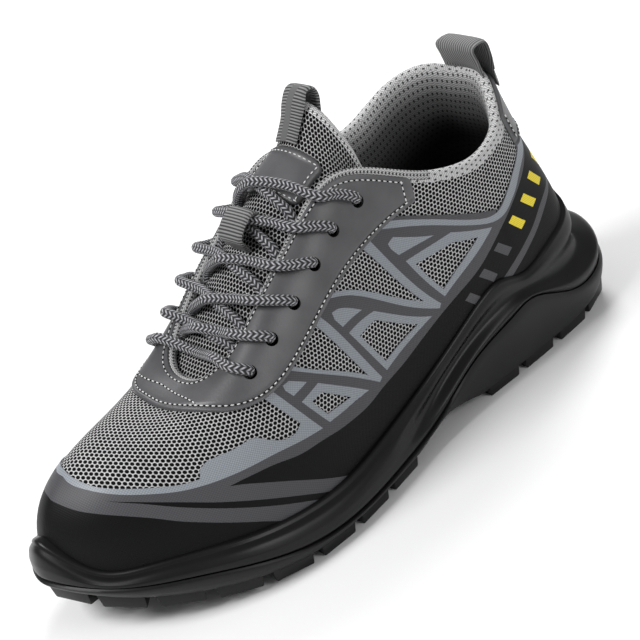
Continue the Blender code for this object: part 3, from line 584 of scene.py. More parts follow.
def bump(tree, shader, height, strength, distance, below=None):
    inputs = {"Height": height, "Strength": strength, "Distance": distance}
    if below is not None:
        inputs["Normal"] = below
    made = node(tree, "Bump", inputs)
    tree.links.new(made.outputs[0], shader.inputs["Normal"])
    return made.outputs[0]


def object_noise(tree, scale, detail):
    spot = node(tree, "TexCoord").outputs["Object"]
    return node(tree, "TexNoise", {"Vector": spot, "Scale": scale, "Detail": detail}).outputs[0]


def pattern_place(tree):
    return node(tree, "UVMap", uv_map="pattern").outputs[0]


def lattice(tree, pitch, stretch):
    """Distance from the nearest point of a staggered lattice, in pitches."""
    row = math.sqrt(3) / 2
    spot = vector_node(tree, "MULTIPLY", pattern_place(tree), (1 / pitch, stretch / pitch, 0))
    near = []
    for shift in ((0, 0, 0), (0.5, row, 0)):
        moved = vector_node(tree, "ADD", spot, shift)
        moved = vector_node(tree, "WRAP", moved, (0.5, row, 1), (-0.5, -row, -1))
        near.append(vector_node(tree, "LENGTH", moved))
    return math_node(tree, "MINIMUM", near[0], near[1])


def stripes(tree, axis, pitch):
    """A wave from 0 to 1 along one axis of the UV map."""
    spot = node(tree, "SeparateXYZ", {0: pattern_place(tree)}).outputs[axis]
    return lifted(tree, wave(tree, math_node(tree, "DIVIDE", spot, pitch)))


print("node helpers ready")

# %% Cloth, lining and film finishes
INSIDE_SHIFT = 2.0  # where the lining's own part of the UV map starts, counted down from the rim
# Painted shade: the lining's colour darkens with depth below the rim, deep inside the shoe.
PAINTED_SHADE_DEPTH = 40 * MM
PAINTED_INSIDE_SHADE = [(0.0, 1.0), (0.1, 0.48), (0.3, 0.19), (0.6, 0.08), (1.0, 0.012)]  # down to that depth
WALE_PITCH, WALE_SWAY, SLOT_STRETCH, TWILL_PITCH = 0.95 * MM, 1.6 / (2 * math.pi), 0.62, 1.7 * MM
MESH_PITCH, MESH_STRETCH, MESH_DARK = 1.85 * MM, 0.88, 0.002


def mesh_cloth(name, pitch, hole, thread, dark, stretch):
    """Open mesh: black holes between pale threads."""
    finish, tree, shader = new_finish(name, 0.8, specular=0.08)
    away = lattice(tree, pitch, stretch)
    tone = ramp(tree, object_noise(tree, 260, 3), [(0.3, 0.82), (0.7, 1.0)])
    tones = [(hole - 0.05, dark), (hole + 0.05, thread * 0.75), (0.5, thread), (0.6, thread * 1.12)]
    tree.links.new(multiplied(tree, ramp(tree, away, tones), tone), shader.inputs["Base Color"])
    bump(tree, shader, ramp(tree, away, [(hole - 0.08, 0.0), (hole + 0.14, 1.0)]), 0.7, 0.35 * MM)
    return finish


def knit_lining(name, pale, pitch, hole):
    """Soft knit of wavy strands with rows of small dark slots, with painted shade that darkens it deep inside the
    shoe.
    """
    finish, tree, shader = new_finish(name, 0.9, specular=0.15)
    spot = node(tree, "SeparateXYZ", {0: pattern_place(tree)})
    sway = wave(tree, math_node(tree, "DIVIDE", spot.outputs["X"], pitch))
    sway = math_node(tree, "MULTIPLY", sway, WALE_SWAY)
    wales = lifted(tree, wave(tree, math_node(tree, "MULTIPLY_ADD", spot.outputs["Y"], 1 / WALE_PITCH, sway)))
    tone = ramp(tree, wales, [(0.1, pale * 0.45), (0.8, pale)])
    slots = ramp(tree, lattice(tree, pitch, SLOT_STRETCH), [(hole - 0.05, 0.08), (hole + 0.06, 1.0)])
    # Painted shade: the deeper the lining's inside part lies below the rim, the darker it is.
    inside = math_node(tree, "SUBTRACT", spot.outputs["Y"], INSIDE_SHIFT)
    depth = ramp(tree, math_node(tree, "DIVIDE", inside, PAINTED_SHADE_DEPTH), PAINTED_INSIDE_SHADE)
    colour = multiplied(tree, multiplied(tree, tone, slots), depth)
    tree.links.new(colour, shader.inputs["Base Color"])
    lower = bump(tree, shader, wales, 0.6, 0.25 * MM)
    bump(tree, shader, slots, 0.6, 0.3 * MM, lower)
    return finish


def printed_film(name, colour, roughness, weave=0.35, specular=0.3):
    """Thin film pressed on a fine twill, whose weave shows through."""
    finish, tree, shader = new_finish(name, roughness, specular=specular)
    spot = node(tree, "SeparateXYZ", {0: pattern_place(tree)})
    waves = []
    for sign in (1, -1):
        slanted = math_node(tree, "MULTIPLY_ADD", spot.outputs["Y"], sign, spot.outputs["X"])
        waves.append(wave(tree, math_node(tree, "DIVIDE", slanted, TWILL_PITCH)))
    level = lifted(tree, math_node(tree, "MULTIPLY", waves[0], waves[1]))
    shade = tuple(c * 0.66 for c in colour)
    tree.links.new(ramp(tree, level, [(0.15, shade), (0.85, colour)]), shader.inputs["Base Color"])
    bump(tree, shader, level, weave, 0.12 * MM)
    return finish


vamp_cloth = mesh_cloth("grey mesh cloth", MESH_PITCH, 0.405, 0.62, MESH_DARK, MESH_STRETCH)
tongue_mesh = mesh_cloth("tongue mesh cloth", MESH_PITCH, 0.43, 0.55, MESH_DARK, MESH_STRETCH)
lining = knit_lining("grey knit lining with painted shade", 0.66, 2.3 * MM, 0.18)
dark_lining = knit_lining("dark footbed cloth", 0.03, 2.6 * MM, 0.2)
film_black = printed_film("black film", (0.004, 0.004, 0.0043), 0.5, specular=0.12)
film_dark = printed_film("dark grey film", (0.07, 0.07, 0.077), 0.5)
film_silver = printed_film("silver film", (0.27, 0.295, 0.325), 0.42)
film_yellow = printed_film("yellow film", (0.9, 0.72, 0.03), 0.5, 0.2)
print("cloth, lining and film finishes ready")

# %% Leather, webbing, lace, stitch and sole finishes


def leather_finish(name, colour, roughness):
    """Smooth coated leather with a fine pebble and a slight mottle."""
    finish, tree, shader = new_finish(name, roughness)
    spot = node(tree, "TexCoord").outputs["Object"]
    cells = node(tree, "TexVoronoi", {"Vector": spot, "Scale": 1500.0}, feature="F1").outputs["Distance"]
    shade = tuple(c * 0.82 for c in colour)
    mottle = ramp(tree, object_noise(tree, 90, 4), [(0.35, shade), (0.65, colour)])
    tree.links.new(mottle, shader.inputs["Base Color"])
    lower = bump(tree, shader, object_noise(tree, 260, 3), 0.12, 0.4 * MM)
    bump(tree, shader, cells, 0.25, 0.12 * MM, lower)
    return finish


def ribbed_webbing(name, axis, pitch, dark, pale, plain=0.0):
    """Webbing ribbed along or across, with a plain stripe of some width down its middle."""
    finish, tree, shader = new_finish(name, 0.7, sheen=0.1)
    ribs = stripes(tree, axis, pitch)
    across = node(tree, "SeparateXYZ", {0: pattern_place(tree)}).outputs["X"]
    stripe = math_node(tree, "LESS_THAN", math_node(tree, "ABSOLUTE", across), plain / 2)
    ribs = node(tree, "Mix", {0: stripe, 2: ribs, 3: 0.45}).outputs[0]
    tree.links.new(ramp(tree, ribs, [(0.2, dark), (0.8, pale)]), shader.inputs["Base Color"])
    lower = bump(tree, shader, ribs, 0.8, 0.3 * MM)
    bump(tree, shader, stripes(tree, "X" if axis == "Y" else "Y", 0.7 * MM), 0.3, 0.12 * MM, lower)
    return finish


BRAID_FOLDS, BRAID_PITCH, BRAID_SLANT = 8, 1.9 * MM, 0.8  # folds round the cord, strand spacing, slant
# The braid's own grey with pale flecks, plus a painted highlight on each strand's crown and painted shade in the
# gaps.
BRAID_TONES_AND_PAINTED_LIGHT = [(0.15, (0.006, 0.006, 0.0065)), (0.5, (0.06, 0.06, 0.065)), (0.95, (0.42, 0.42, 0.45))]
# Painted shade in the grooves where the strands of two rows meet.
BRAID_GROOVE_PAINTED_SHADE = [(0.0, 0.25), (0.3, 1.0), (0.7, 1.0), (1.0, 0.25)]
RIB_PITCH = 1.3 * MM
SOLE_BLACK = (0.006, 0.006, 0.0064)


def braided_lace(name):
    """Round braid: slanted strands that meet in rows of chevrons along the cord, with painted highlights on the
    strands and painted shade between them.
    """
    finish, tree, shader = new_finish(name, 0.75, sheen=0.1)
    spot = node(tree, "SeparateXYZ", {0: pattern_place(tree)})
    fold = math_node(tree, "PINGPONG", spot.outputs["Y"], 1 / BRAID_FOLDS)
    along = math_node(tree, "DIVIDE", spot.outputs["X"], BRAID_PITCH)
    level = lifted(tree, wave(tree, math_node(tree, "MULTIPLY_ADD", fold, BRAID_SLANT * BRAID_FOLDS, along)))
    # Strand tones: the braid's own grey with painted highlights and painted shade.
    colour = ramp(tree, level, BRAID_TONES_AND_PAINTED_LIGHT)
    # Painted shade darkens the grooves between the rows of strands.
    rows = ramp(tree, math_node(tree, "MULTIPLY", fold, BRAID_FOLDS), BRAID_GROOVE_PAINTED_SHADE)
    tree.links.new(multiplied(tree, colour, rows), shader.inputs["Base Color"])
    bump(tree, shader, level, 0.8, 0.35 * MM)
    return finish


def moulded_sole(name, colour, roughness, grain):
    """Moulded compound with a satin skin and a fine stipple."""
    finish, tree, shader = new_finish(name, roughness, specular=0.26)
    shade = tuple(c * 0.7 for c in colour)
    mottle = ramp(tree, object_noise(tree, 35, 3), [(0.3, shade), (0.7, colour)])
    tree.links.new(mottle, shader.inputs["Base Color"])
    bump(tree, shader, object_noise(tree, 2600, 2), grain, 0.1 * MM)
    return finish


leather = leather_finish("dark grey leather", (0.08, 0.08, 0.084), 0.42)
heel_webbing = ribbed_webbing("heel webbing", "X", RIB_PITCH, 0.05, 0.22)
pull_webbing = ribbed_webbing("pull webbing", "Y", RIB_PITCH, 0.012, 0.2, 4 * MM)
keeper_webbing = ribbed_webbing("keeper webbing", "Y", RIB_PITCH, 0.012, 0.2)
binding_tape = knit_lining("throat binding", 0.5, 1.6 * MM, 0.24)
lace_braid = braided_lace("braided grey lace")
midsole_skin = moulded_sole("black foam skin", SOLE_BLACK, 0.34, 0.1)
outsole_skin = moulded_sole("black rubber", SOLE_BLACK, 0.42, 0.2)
thread_finish, thread_tree, thread_shader = new_finish("pale thread", 0.6)
thread_tone = ramp(thread_tree, object_noise(thread_tree, 900, 2), [(0.3, 0.5), (0.7, 0.72)])
thread_tree.links.new(thread_tone, thread_shader.inputs["Base Color"])
# Painted shade: near-black dashes stand for the shade in the sunk stitch line between the stitches.
stitch_shade_finish, _, stitch_shade_shader = new_finish("painted stitch shade", 0.9, specular=0.05)
stitch_shade_shader.inputs["Base Color"].default_value = (0.004, 0.004, 0.004, 1)
print("leather, webbing, lace, thread and sole finishes ready")

# %% [markdown]
# ## Upper cloth
# The upper is one padded wall: mesh cloth outside, knit lining inside, rolled together at the collar.
# It could be a Solidify of one sheet, but then the roll would be a flat strip. Here each rib is a closed
# loop: up the outside, over the roll and down the inside. A pattern cutter lays the upper flat with a
# seam at the heel, and Blender's unwrap does the same, so the mesh keeps its pitch all round.

# %% Flat pattern of the upper


def flat_pattern(t, v):
    """UV places in metres from an unwrap of the outer face, cut at the heel."""
    points = upper_point(t[:, None], v[None, :])
    rows, count = points.shape[:2]
    i, j = np.meshgrid(np.arange(rows - 1), np.arange(count - 1), indexing="ij")
    k = i * count + j
    faces = np.stack([k, k + count, k + count + 1, k + 1], -1).reshape(-1, 4)
    mesh = bpy.data.meshes.new("flat pattern")
    mesh.from_pydata(points.reshape(-1, 3).tolist(), [], faces.tolist())
    mesh.uv_layers.new(name="flat")
    sheet = in_scene("flat pattern", mesh)
    bpy.context.view_layer.objects.active = sheet
    bpy.ops.object.mode_set(mode="EDIT")
    bpy.ops.mesh.select_all(action="SELECT")
    bpy.ops.uv.unwrap(method="MINIMUM_STRETCH", margin=0, iterations=40)
    bpy.ops.object.mode_set(mode="OBJECT")
    corner = np.zeros(len(mesh.loops) * 2, np.float32)
    mesh.uv_layers["flat"].data.foreach_get("uv", corner)
    flat = np.zeros((rows * count, 2))
    flat[corner_owners(mesh)] = corner.reshape(-1, 2)
    bpy.data.objects.remove(sheet)
    flat = flat.reshape(rows, count, 2)
    steps = [np.linalg.norm(np.diff(grid, axis=0), axis=-1).sum() for grid in (points, flat)]
    return flat * steps[0] / steps[1]


pattern_t, pattern_v = np.linspace(0, STATIONS, 169), np.linspace(0, 1, 25)
PATTERN = flat_pattern(pattern_t, pattern_v)


def pattern_uv(t, v):
    """The flat pattern at any t and v."""
    t, v = np.broadcast_arrays(t, v)
    x, y = t / STATIONS * (len(pattern_t) - 1), np.clip(v, 0, 1) * (len(pattern_v) - 1)
    i = np.clip(x.astype(int), 0, len(pattern_t) - 2)
    j = np.clip(y.astype(int), 0, len(pattern_v) - 2)
    p, q = (x - i)[..., None], (y - j)[..., None]
    low = PATTERN[i, j] * (1 - p) + PATTERN[i + 1, j] * p
    high = PATTERN[i, j + 1] * (1 - p) + PATTERN[i + 1, j + 1] * p
    return low * (1 - q) + high * q


print("flat pattern", (np.ptp(PATTERN.reshape(-1, 2), axis=0) / MM).round(), "mm")

# %% Upper wall with its rolled collar
ROUND, UP_ROWS, ROLL_ROWS = 336, 44, 6
ROLL_STEP, ROLL_HEIGHT = 0.9 * MM, 0.75
KNIT_EDGE, KNIT_NARROW = 8.5 * MM, 4 * MM  # at the heel and along the quarters
KNIT_FADE = (1.5, 3.5)  # stations from the heel between which it narrows
PADDED = 0.3  # the share of padding from which the collar has a knit edge
upper_t = np.linspace(0, STATIONS, ROUND + 1)
upper_v = np.linspace(0, 1, UP_ROWS + 1) ** 0.9
PAD_FULL, RIM_ROLL, RIM_THINNING = 0.8, 0.86, 0.55


def wall_thickness(t, v):
    """The wall's thickness: thin below, padded at the collar and thinner again at the rim."""
    start = rib_share(t, PAD_DEPTH)[:, None]
    rise = np.clip((v - start) / (PAD_FULL - start), 0, 1)
    thin = 1 - RIM_THINNING * np.clip((v - RIM_ROLL) / (1 - RIM_ROLL), 0, 1) ** 2
    share = np.clip(UPPER["padding"](t)[:, None] * rise**2 * (3 - 2 * rise) * thin, 0, 1)
    return UPPER_WALL + (COLLAR_PAD - UPPER_WALL) * share


t_grid, v_grid = np.meshgrid(upper_t[:-1], upper_v, indexing="ij")
thick = wall_thickness(upper_t[:-1], v_grid)
outer = upper_point(t_grid, v_grid)
inner = outer - upper_normal(t_grid, v_grid) * thick[..., None]
rim_mid, rim_half = (outer[:, -1] + inner[:, -1]) / 2, (outer[:, -1] - inner[:, -1]) / 2
half_width = np.linalg.norm(rim_half, axis=1)[:, None]
rise_way = unit(outer[:, -1] - outer[:, -4])
roll = [
    rim_mid + rim_half * math.cos(a) + rise_way * ROLL_HEIGHT * math.sin(a) * half_width
    for a in np.linspace(0, math.pi, ROLL_ROWS + 2)[1:-1]
]
loops = np.concatenate([outer, np.stack(roll, 1), inner[:, -1:], inner[:, ::-1]], axis=1)
flat = pattern_uv(upper_t[:, None], upper_v[None, :])
rim_way = unit(flat[:, -1:] - flat[:, -4:-3])
roll_uv = flat[:, -1:] + rim_way * (np.arange(1, ROLL_ROWS + 2) * ROLL_STEP)[None, :, None]
rim_run = run_along(np.append(inner[:, -1], inner[:1, -1], 0))
# The inside's UV counts the depth below the rim, which sets the lining's painted shade.
below_rim = np.linalg.norm(np.diff(inner[:, ::-1], axis=1, prepend=inner[:, -1:]), axis=2).cumsum(1)
below_rim = INSIDE_SHIFT + np.append(below_rim, below_rim[:1], axis=0)
inside_uv = np.stack([np.broadcast_to(rim_run[:, None], below_rim.shape), below_rim], -1)
uv = np.concatenate([flat, roll_uv, inside_uv, inside_uv[:, -1:]], axis=1)
slots = np.ones((ROUND, loops.shape[1]), int)
from_heel = np.minimum(upper_t, STATIONS - upper_t)[:-1]
knit_edge = np.interp(from_heel, KNIT_FADE, (KNIT_EDGE, KNIT_NARROW))
knit_from = np.where(UPPER["padding"](upper_t[:-1]) > PADDED, rib_share(upper_t[:-1], knit_edge), 2)
slots[:, :UP_ROWS] = v_grid[:, :-1] > knit_from[:, None]
upper_mesh = loft("upper_cloth", loops, uv, ring=True, slots=slots)
upper_cloth = piece("upper_cloth", upper_mesh, [vamp_cloth, lining], ["upper"])

# %% [markdown]
# ## Printed film
# A low trainer's cage, toe guard and heel counter are one film pressed on the cloth, in black, two greys
# and a yellow accent, with windows left open over the mesh. Painting it on the cloth would give no edge.
# Instead each panel's outline is put on the upper through the camera, the whole sheet is cut into
# triangles along those outlines, and what falls in a window is dropped. The inner side is the mirror
# image, carried over by the share of the way from heel to toe.

# %% Outlines of the panels, in pixels of the picture
SILVER_LOW = [(62, 470), (64, 477), (74, 486), (91, 491), (109, 494), (127, 495), (154, 494), (181, 491),
              (208, 484), (234, 474), (270, 456), (300, 441)]
SILVER_HIGH = [(264, 399), (300, 423), (297, 431), (286, 439), (271, 440), (257, 438), (249, 440), (234, 449),
               (216, 457), (206, 462), (200, 470), (200, 479), (184, 484), (163, 487), (134, 489), (113, 489),
               (95, 487), (81, 482), (72, 477), (65, 467)]
BAND_OUTER = [(522, 132), (523, 156), (518, 184), (507, 213), (490, 248), (474, 274), (458, 293), (442, 312),
              (421, 339), (402, 364), (383, 386), (367, 406), (345, 425), (322, 440)]
BAND_INNER = [(328, 422), (367, 390), (386, 370), (430, 316), (444, 296), (480, 253), (495, 214), (511, 180),
              (516, 156), (517, 136)]
TOE_BAND_LOW = [(300, 517), (261, 521), (234, 522), (208, 522), (181, 521), (154, 518), (127, 516), (100, 514),
                (79, 511), (59, 504), (40, 487)]
UNDER_SILVER = [(64, 470), (76, 481), (91, 488), (127, 491), (181, 487), (234, 470), (300, 436)]
UPPER_WEDGE = [(300, 454), (270, 466), (243, 479), (229, 486), (243, 484), (270, 482), (300, 480), (352, 474)]
LOWER_WEDGE = [(350, 486), (300, 495), (252, 500), (216, 502), (181, 502), (145, 502), (106, 501), (145, 504),
               (181, 507), (216, 508), (252, 507), (300, 502), (332, 496)]
CAGE_TOP = [(262, 392), (278, 374), (306, 330), (342, 264), (360, 236), (383, 219), (432, 215), (495, 209)]
WINDOWS = [
    [(359, 247), (423, 301), (330, 294), (318, 286), (350, 243)],
    [(314, 325), (367, 375), (291, 366), (280, 360), (306, 320)],
    [(415, 264), (452, 242), (477, 237), (443, 289)],
    [(359, 336), (374, 320), (417, 324), (385, 361)],
    [(311, 402), (321, 392), (350, 397), (327, 414)],
]
FRAMES = [
    [(365, 237), (440, 303), (439, 308), (328, 299), (318, 296), (352, 234)],
    [(319, 317), (381, 377), (379, 382), (285, 370), (276, 368), (306, 312)],
    [(405, 261), (450, 232), (491, 227), (444, 296)],
    [(348, 333), (373, 311), (431, 316), (386, 370)],
    [(301, 402), (317, 383), (368, 390), (329, 422)],
]
CHIPS = [
    [(387, 244), (392, 237), (433, 235), (398, 255), (390, 249)],
    [(331, 313), (337, 309), (361, 310), (342, 327), (334, 320)],
    [(282, 386), (288, 381), (306, 382), (293, 396), (285, 391)],
]
CAGE_END, SILVER_TURN = [(322, 430)], [(322, 428), (271, 391)]
QUARTER_BAR = [(374, 230), (381, 223), (430, 219), (495, 213), (507, 189), (513, 168), (516, 136), (521, 134),
               (519, 168), (512, 196), (499, 218), (430, 225)]
HEEL_STRIPE = [(545, 168), (544, 174), (540, 201), (530, 230), (514, 260), (499, 283), (507, 281), (518, 265),
               (533, 236), (544, 205), (548, 175), (549, 168)]
ACCENT_BARS = [(474, 299, 0), (488, 275, 0), (502, 249, 0), (516, 222, 1), (527, 200, 1), (533, 178, 1),
               (534, 157, 1)]  # middle, and whether it is yellow
BAR_HALF_LENGTH, BAR_HALF_WIDTH, BAR_LEAN = 4.4 * MM, 2.1 * MM, 0.35
print(len(WINDOWS), "windows,", len(CHIPS), "chips and", len(ACCENT_BARS), "accent bars a side")

# %% Put the outlines on the upper
CHART_SIDE = (28 * MM, 110 * MM)  # what one station and the whole height measure, about
DRAW_IN = 30  # pixels
CORNER_ANGLE, SMALL_CORNER_ANGLE, SMALL_OUTLINE = 42, 15, 7  # degrees, and the points of a larger outline
toe_line = float(FINE_RING[np.argmin(upper_point(FINE_RING, FOOT_SHARE)[:, 1])])


def on_chart(pixels):
    """Pixels as places in t and v; one just off the shoe is drawn in towards the middle of its side."""
    spots = []
    for pixel in np.array(pixels, float):
        inward = unit(SIDE_MIDDLE - pixel)
        tries = (UPPER_CHART.at(pixel + inward * step) for step in np.arange(0, DRAW_IN, 0.5))
        spots += [next(spot for spot in tries if spot is not None)]
    return np.array(spots)


def cut_line(places, step=2.0 * MM, corner=CORNER_ANGLE):
    """A closed outline, smooth between its corners, with points at an even step."""
    places = places * CHART_SIDE
    ways = unit(np.roll(places, -1, 0) - places)
    bend = np.degrees(np.arccos(np.clip((ways * np.roll(ways, 1, 0)).sum(1), -1, 1)))
    corners = np.flatnonzero(bend > corner)
    if len(corners) < 2:
        return smooth_through(places, step, closed=True)[:-1]
    runs = []
    for a, b in zip(corners, np.roll(corners, -1)):
        end = b if b > a else b + len(places)
        run = np.take(places, range(a, end + 1), axis=0, mode="wrap")
        runs.append(smooth_through(run, step)[:-1])
    return np.concatenate(runs)


def slanted_bars(centres):
    """Plain slanted bars across the heel's black band, at their real size on the surface."""
    step = 0.02
    t, v = centres.T
    round_span = upper_point(t + step, v) - upper_point(t - step, v)
    spans = (round_span, upper_point(t, v + step) - upper_point(t, v - step))
    sides = np.stack([np.linalg.norm(span, axis=1) for span in spans], 1) / (2 * step)
    ways = unit(np.gradient(centres, axis=0) * sides)
    across = np.stack([-ways[:, 1], ways[:, 0]], 1)
    ends = across + ways * BAR_LEAN
    corners = [
        sign * (BAR_HALF_LENGTH * ends + side * BAR_HALF_WIDTH * ways) for sign in (1, -1) for side in (-1, 1)
    ]
    return [centres[k] + np.array([corner[k] for corner in corners]) / sides[k] for k in range(len(centres))]


lower_t = np.linspace(0, toe_line + 0.4, 60)
under_lip = np.stack([lower_t, np.maximum(lip_share(lower_t) - 0.05, 0.02)], 1)
heel_t = np.linspace(1.9, 0, 6)
heel_top = np.stack([heel_t, rib_share(heel_t, tab_edge(heel_t, TAB_DEPTH - MM))], 1)
black_top = np.concatenate([on_chart(UNDER_SILVER + BAND_INNER), heel_top])
panels = [
    ("black", np.concatenate([under_lip, black_top])),
    ("dark", on_chart(UNDER_SILVER + BAND_INNER + BAND_OUTER + UPPER_WEDGE + LOWER_WEDGE + TOE_BAND_LOW)),
    ("dark", on_chart(CAGE_TOP + BAND_INNER[::-1][3:] + CAGE_END)),
    ("silver", on_chart(SILVER_LOW + SILVER_TURN + SILVER_HIGH)),
    ("silver", on_chart(QUARTER_BAR)),
    ("dark", on_chart(HEEL_STRIPE)),
]
panels += [("silver", on_chart(outline_pixels)) for outline_pixels in FRAMES + CHIPS]
bars = slanted_bars(on_chart([bar[:2] for bar in ACCENT_BARS]))
panels += [("yellow" if bright else "dark", bar) for bar, (_, _, bright) in zip(bars, ACCENT_BARS)]
panels += [("window", on_chart(outline_pixels)) for outline_pixels in WINDOWS]
panels = [
    (kind, cut_line(places, corner=SMALL_CORNER_ANGLE if len(places) < SMALL_OUTLINE else CORNER_ANGLE))
    for kind, places in panels
]
print("toe line at station", round(toe_line, 2), "and", len(panels), "panels on the outer side")

# %% Cut the film sheet along the outlines
CUT_TOLERANCE, GRID_CLEAR = 0.12 * MM, 0.4  # of the grid's spacing, from any outline
SEAM_POINTS, ON_SEAM = 60, 1e-6


def inside(places, outline_places):
    """Which places lie inside a closed outline."""
    x, y = places[:, 0][:, None], places[:, 1][:, None]
    ax, ay = outline_places.T
    bx, by = np.roll(outline_places, -1, 0).T
    slope = (bx - ax) / np.where(by == ay, 1e-12, by - ay)
    crossing = ((ay > y) != (by > y)) & (x < slope * (y - ay) + ax)
    return crossing.sum(1) % 2 == 1


def cut_sheet(panels, spacing):
    """Triangles of the film sheet on one side of the shoe, and which panel each belongs to."""
    points, edges = [], []
    for _, places in panels:
        first = len(points)
        points += places.tolist()
        edges += [(first + k, first + (k + 1) % len(places)) for k in range(len(places))]
    for t in (0.0, toe_line):
        first = len(points)
        column = np.linspace(0, 1, SEAM_POINTS)
        points += [(t * CHART_SIDE[0], v * CHART_SIDE[1]) for v in column]
        edges += [(first + k, first + k + 1) for k in range(len(column) - 1)]
    width, height = toe_line * CHART_SIDE[0], CHART_SIDE[1]
    x, y = np.meshgrid(np.arange(0, width, spacing), np.arange(0, height, spacing))
    x = x + 0.5 * spacing * (np.arange(len(x)) % 2)[:, None]
    grid = np.stack([x.ravel(), y.ravel()], 1)
    drawn = KDTree(len(points))
    for k, spot in enumerate(points):
        drawn.insert((*spot, 0), k)
    drawn.balance()
    points += [spot for spot in grid.tolist() if drawn.find((*spot, 0))[2] > GRID_CLEAR * spacing]
    cut = delaunay_2d_cdt([Vector(p) for p in points], edges, [], 0, CUT_TOLERANCE)
    spots, faces = np.array([tuple(p) for p in cut[0]]), np.array(cut[2])
    middles = spots[faces].mean(axis=1)
    kinds = np.full(len(faces), -1)
    for order, (_, places) in enumerate(panels):
        kinds[inside(middles, places)] = order
    kept = (kinds >= 0) & (middles[:, 0] > 0) & (middles[:, 0] < width)
    kept &= np.array([kind != "window" for kind, _ in panels])[kinds]
    return spots / CHART_SIDE, faces[kept], [panels[k][0] for k in kinds[kept]]


def ring_run(t):
    """Distance round the upper's foot up to each t."""
    return np.interp(t, FINE_RING, run_along(upper_point(FINE_RING, FOOT_SHARE)))


def other_side(t):
    """The t on the inner side at the same share of the way from heel to toe."""
    share = ring_run(t) / ring_run(toe_line)
    mirrored = np.linspace(toe_line, STATIONS, 800)
    toe_run = ring_run(toe_line)
    shares = 1 - (ring_run(mirrored) - toe_run) / (ring_run(STATIONS) - toe_run)
    return np.interp(-share, -shares, mirrored)


FILM_LIFT, FILM_THICKNESS, FILM_PITCH = 0.2 * MM, 0.4 * MM, 3.2 * MM
FILM_KINDS = ["black", "dark", "silver", "yellow"]
TOE_TURN = 0.045  # lifts the inner side's outlines so that they run on smoothly round the toe
film_places, film_faces, film_kinds = cut_sheet(panels, FILM_PITCH)
used, film_faces = np.unique(film_faces, return_inverse=True)
film_places, film_faces = film_places[used], film_faces.reshape(-1, 3)
film_places = np.clip(film_places, 0, [toe_line, 1])
on_seam = np.minimum(film_places[:, 0], toe_line - film_places[:, 0]) < ON_SEAM
mirror_index = np.where(on_seam, np.arange(len(used)), len(used) + np.cumsum(~on_seam) - 1)
mirror_places = np.stack([other_side(film_places[:, 0]), film_places[:, 1]], 1)[~on_seam]
past_toe = mirror_places[:, 0] - toe_line
mirror_places[:, 1] = np.clip(mirror_places[:, 1] + TOE_TURN * past_toe * np.exp(-past_toe), 0, 1)
all_places = np.concatenate([film_places, mirror_places])
all_faces = np.concatenate([film_faces, mirror_index[film_faces][:, ::-1]])
all_kinds = np.array([FILM_KINDS.index(kind) for kind in film_kinds * 2])


def film_skin(places, faces, kinds):
    """A closed film on the upper with a rim along every cut, shaded with the upper's own normals."""
    count = len(places)
    normals = upper_normal(*places.T)
    spots = [upper_point(*places.T) + normals * lift for lift in (FILM_LIFT + FILM_THICKNESS, FILM_LIFT)]
    top = spots[0]
    facing = np.cross(top[faces[:, 1]] - top[faces[:, 0]], top[faces[:, 2]] - top[faces[:, 0]])
    turned = (facing * normals[faces[:, 0]]).sum(1) < 0
    faces = np.where(turned[:, None], faces[:, ::-1], faces)
    edges = {(a, b): k for k, face in enumerate(faces.tolist()) for a, b in zip(face, face[1:] + face[:1])}
    rims = [(a, b, k) for (a, b), k in edges.items() if (b, a) not in edges]
    walls = [(b, a, a + count, b + count) for a, b, _ in rims]
    mesh = bpy.data.meshes.new("printed_film")
    below = faces[:, ::-1] + count
    mesh.from_pydata(np.concatenate(spots).tolist(), [], faces.tolist() + below.tolist() + walls)
    inks = np.concatenate([kinds, kinds, kinds[[k for _, _, k in rims]]])
    mesh.polygons.foreach_set("material_index", inks.astype(np.int32))
    owner = np.concatenate([faces.ravel(), faces[:, ::-1].ravel(), np.array(walls).ravel() % count])
    set_pattern(mesh, pattern_uv(*places.T)[owner])
    mesh.shade_smooth()
    wall_normals = np.array([mesh.polygons[2 * len(faces) + k].normal for k in range(len(walls))])
    shading = [normals[faces.ravel()], -normals[faces[:, ::-1].ravel()], np.repeat(wall_normals, 4, axis=0)]
    mesh.normals_split_custom_set(np.concatenate(shading).tolist())
    return mesh


film_mesh = film_skin(all_places, all_faces, all_kinds)
piece("printed_film", film_mesh, [film_black, film_dark, film_silver, film_yellow])
print("film:", len(all_faces), "faces")

# %% [markdown]
# ## Eyestay and heel tab
# Both are cut leather sewn on the upper. They follow the upper's own surface between two depths below
# the rim, with a soft edge and a little loft between the stitch rows. The lace holes are punched
# through leather and wall with pins, as a press would.

# %% Leather layers
EDGE_ROUND = 0.55 * MM
EDGE_STEPS = np.array([0, 0.12, 0.3, 0.6, 1.0, 1.5, 2.0, 2.5, 3.0, 3.6, 4.4]) * MM
STITCH_INSET, STITCH_DENT, STITCH_SINK = 2.1 * MM, 0.7 * MM, 0.45
LEATHER_LAP = 1.1 * MM  # how far the sewn edge laps past the solid's
LEATHER_START = 0.6 * MM  # below the rim
LEATHER_SHARP = 60  # degrees
HOLE_RADIUS, HOLE_SHIFT, PIN_LENGTH, PIN_SIDES = 2.9 * MM, 0.9 * MM, 14 * MM, 24


def from_ends(count):
    """Steps from the nearer end of a row."""
    return np.minimum(np.arange(count), np.arange(count)[::-1])


def row_on_upper(t, depth, height):
    v = rib_share(t, depth)
    return off_upper(t, v, np.broadcast_to(height, v.shape))


def edge_slant(t, depth):
    """How squarely the ribs meet an edge: the sine of the angle between them."""
    edge = row_on_upper(t, depth, 0)
    rib = unit(row_on_upper(t, depth + MM, 0) - edge)
    return np.clip(np.linalg.norm(np.cross(unit(np.gradient(edge, axis=0)), rib), axis=1), 0.35, 1)


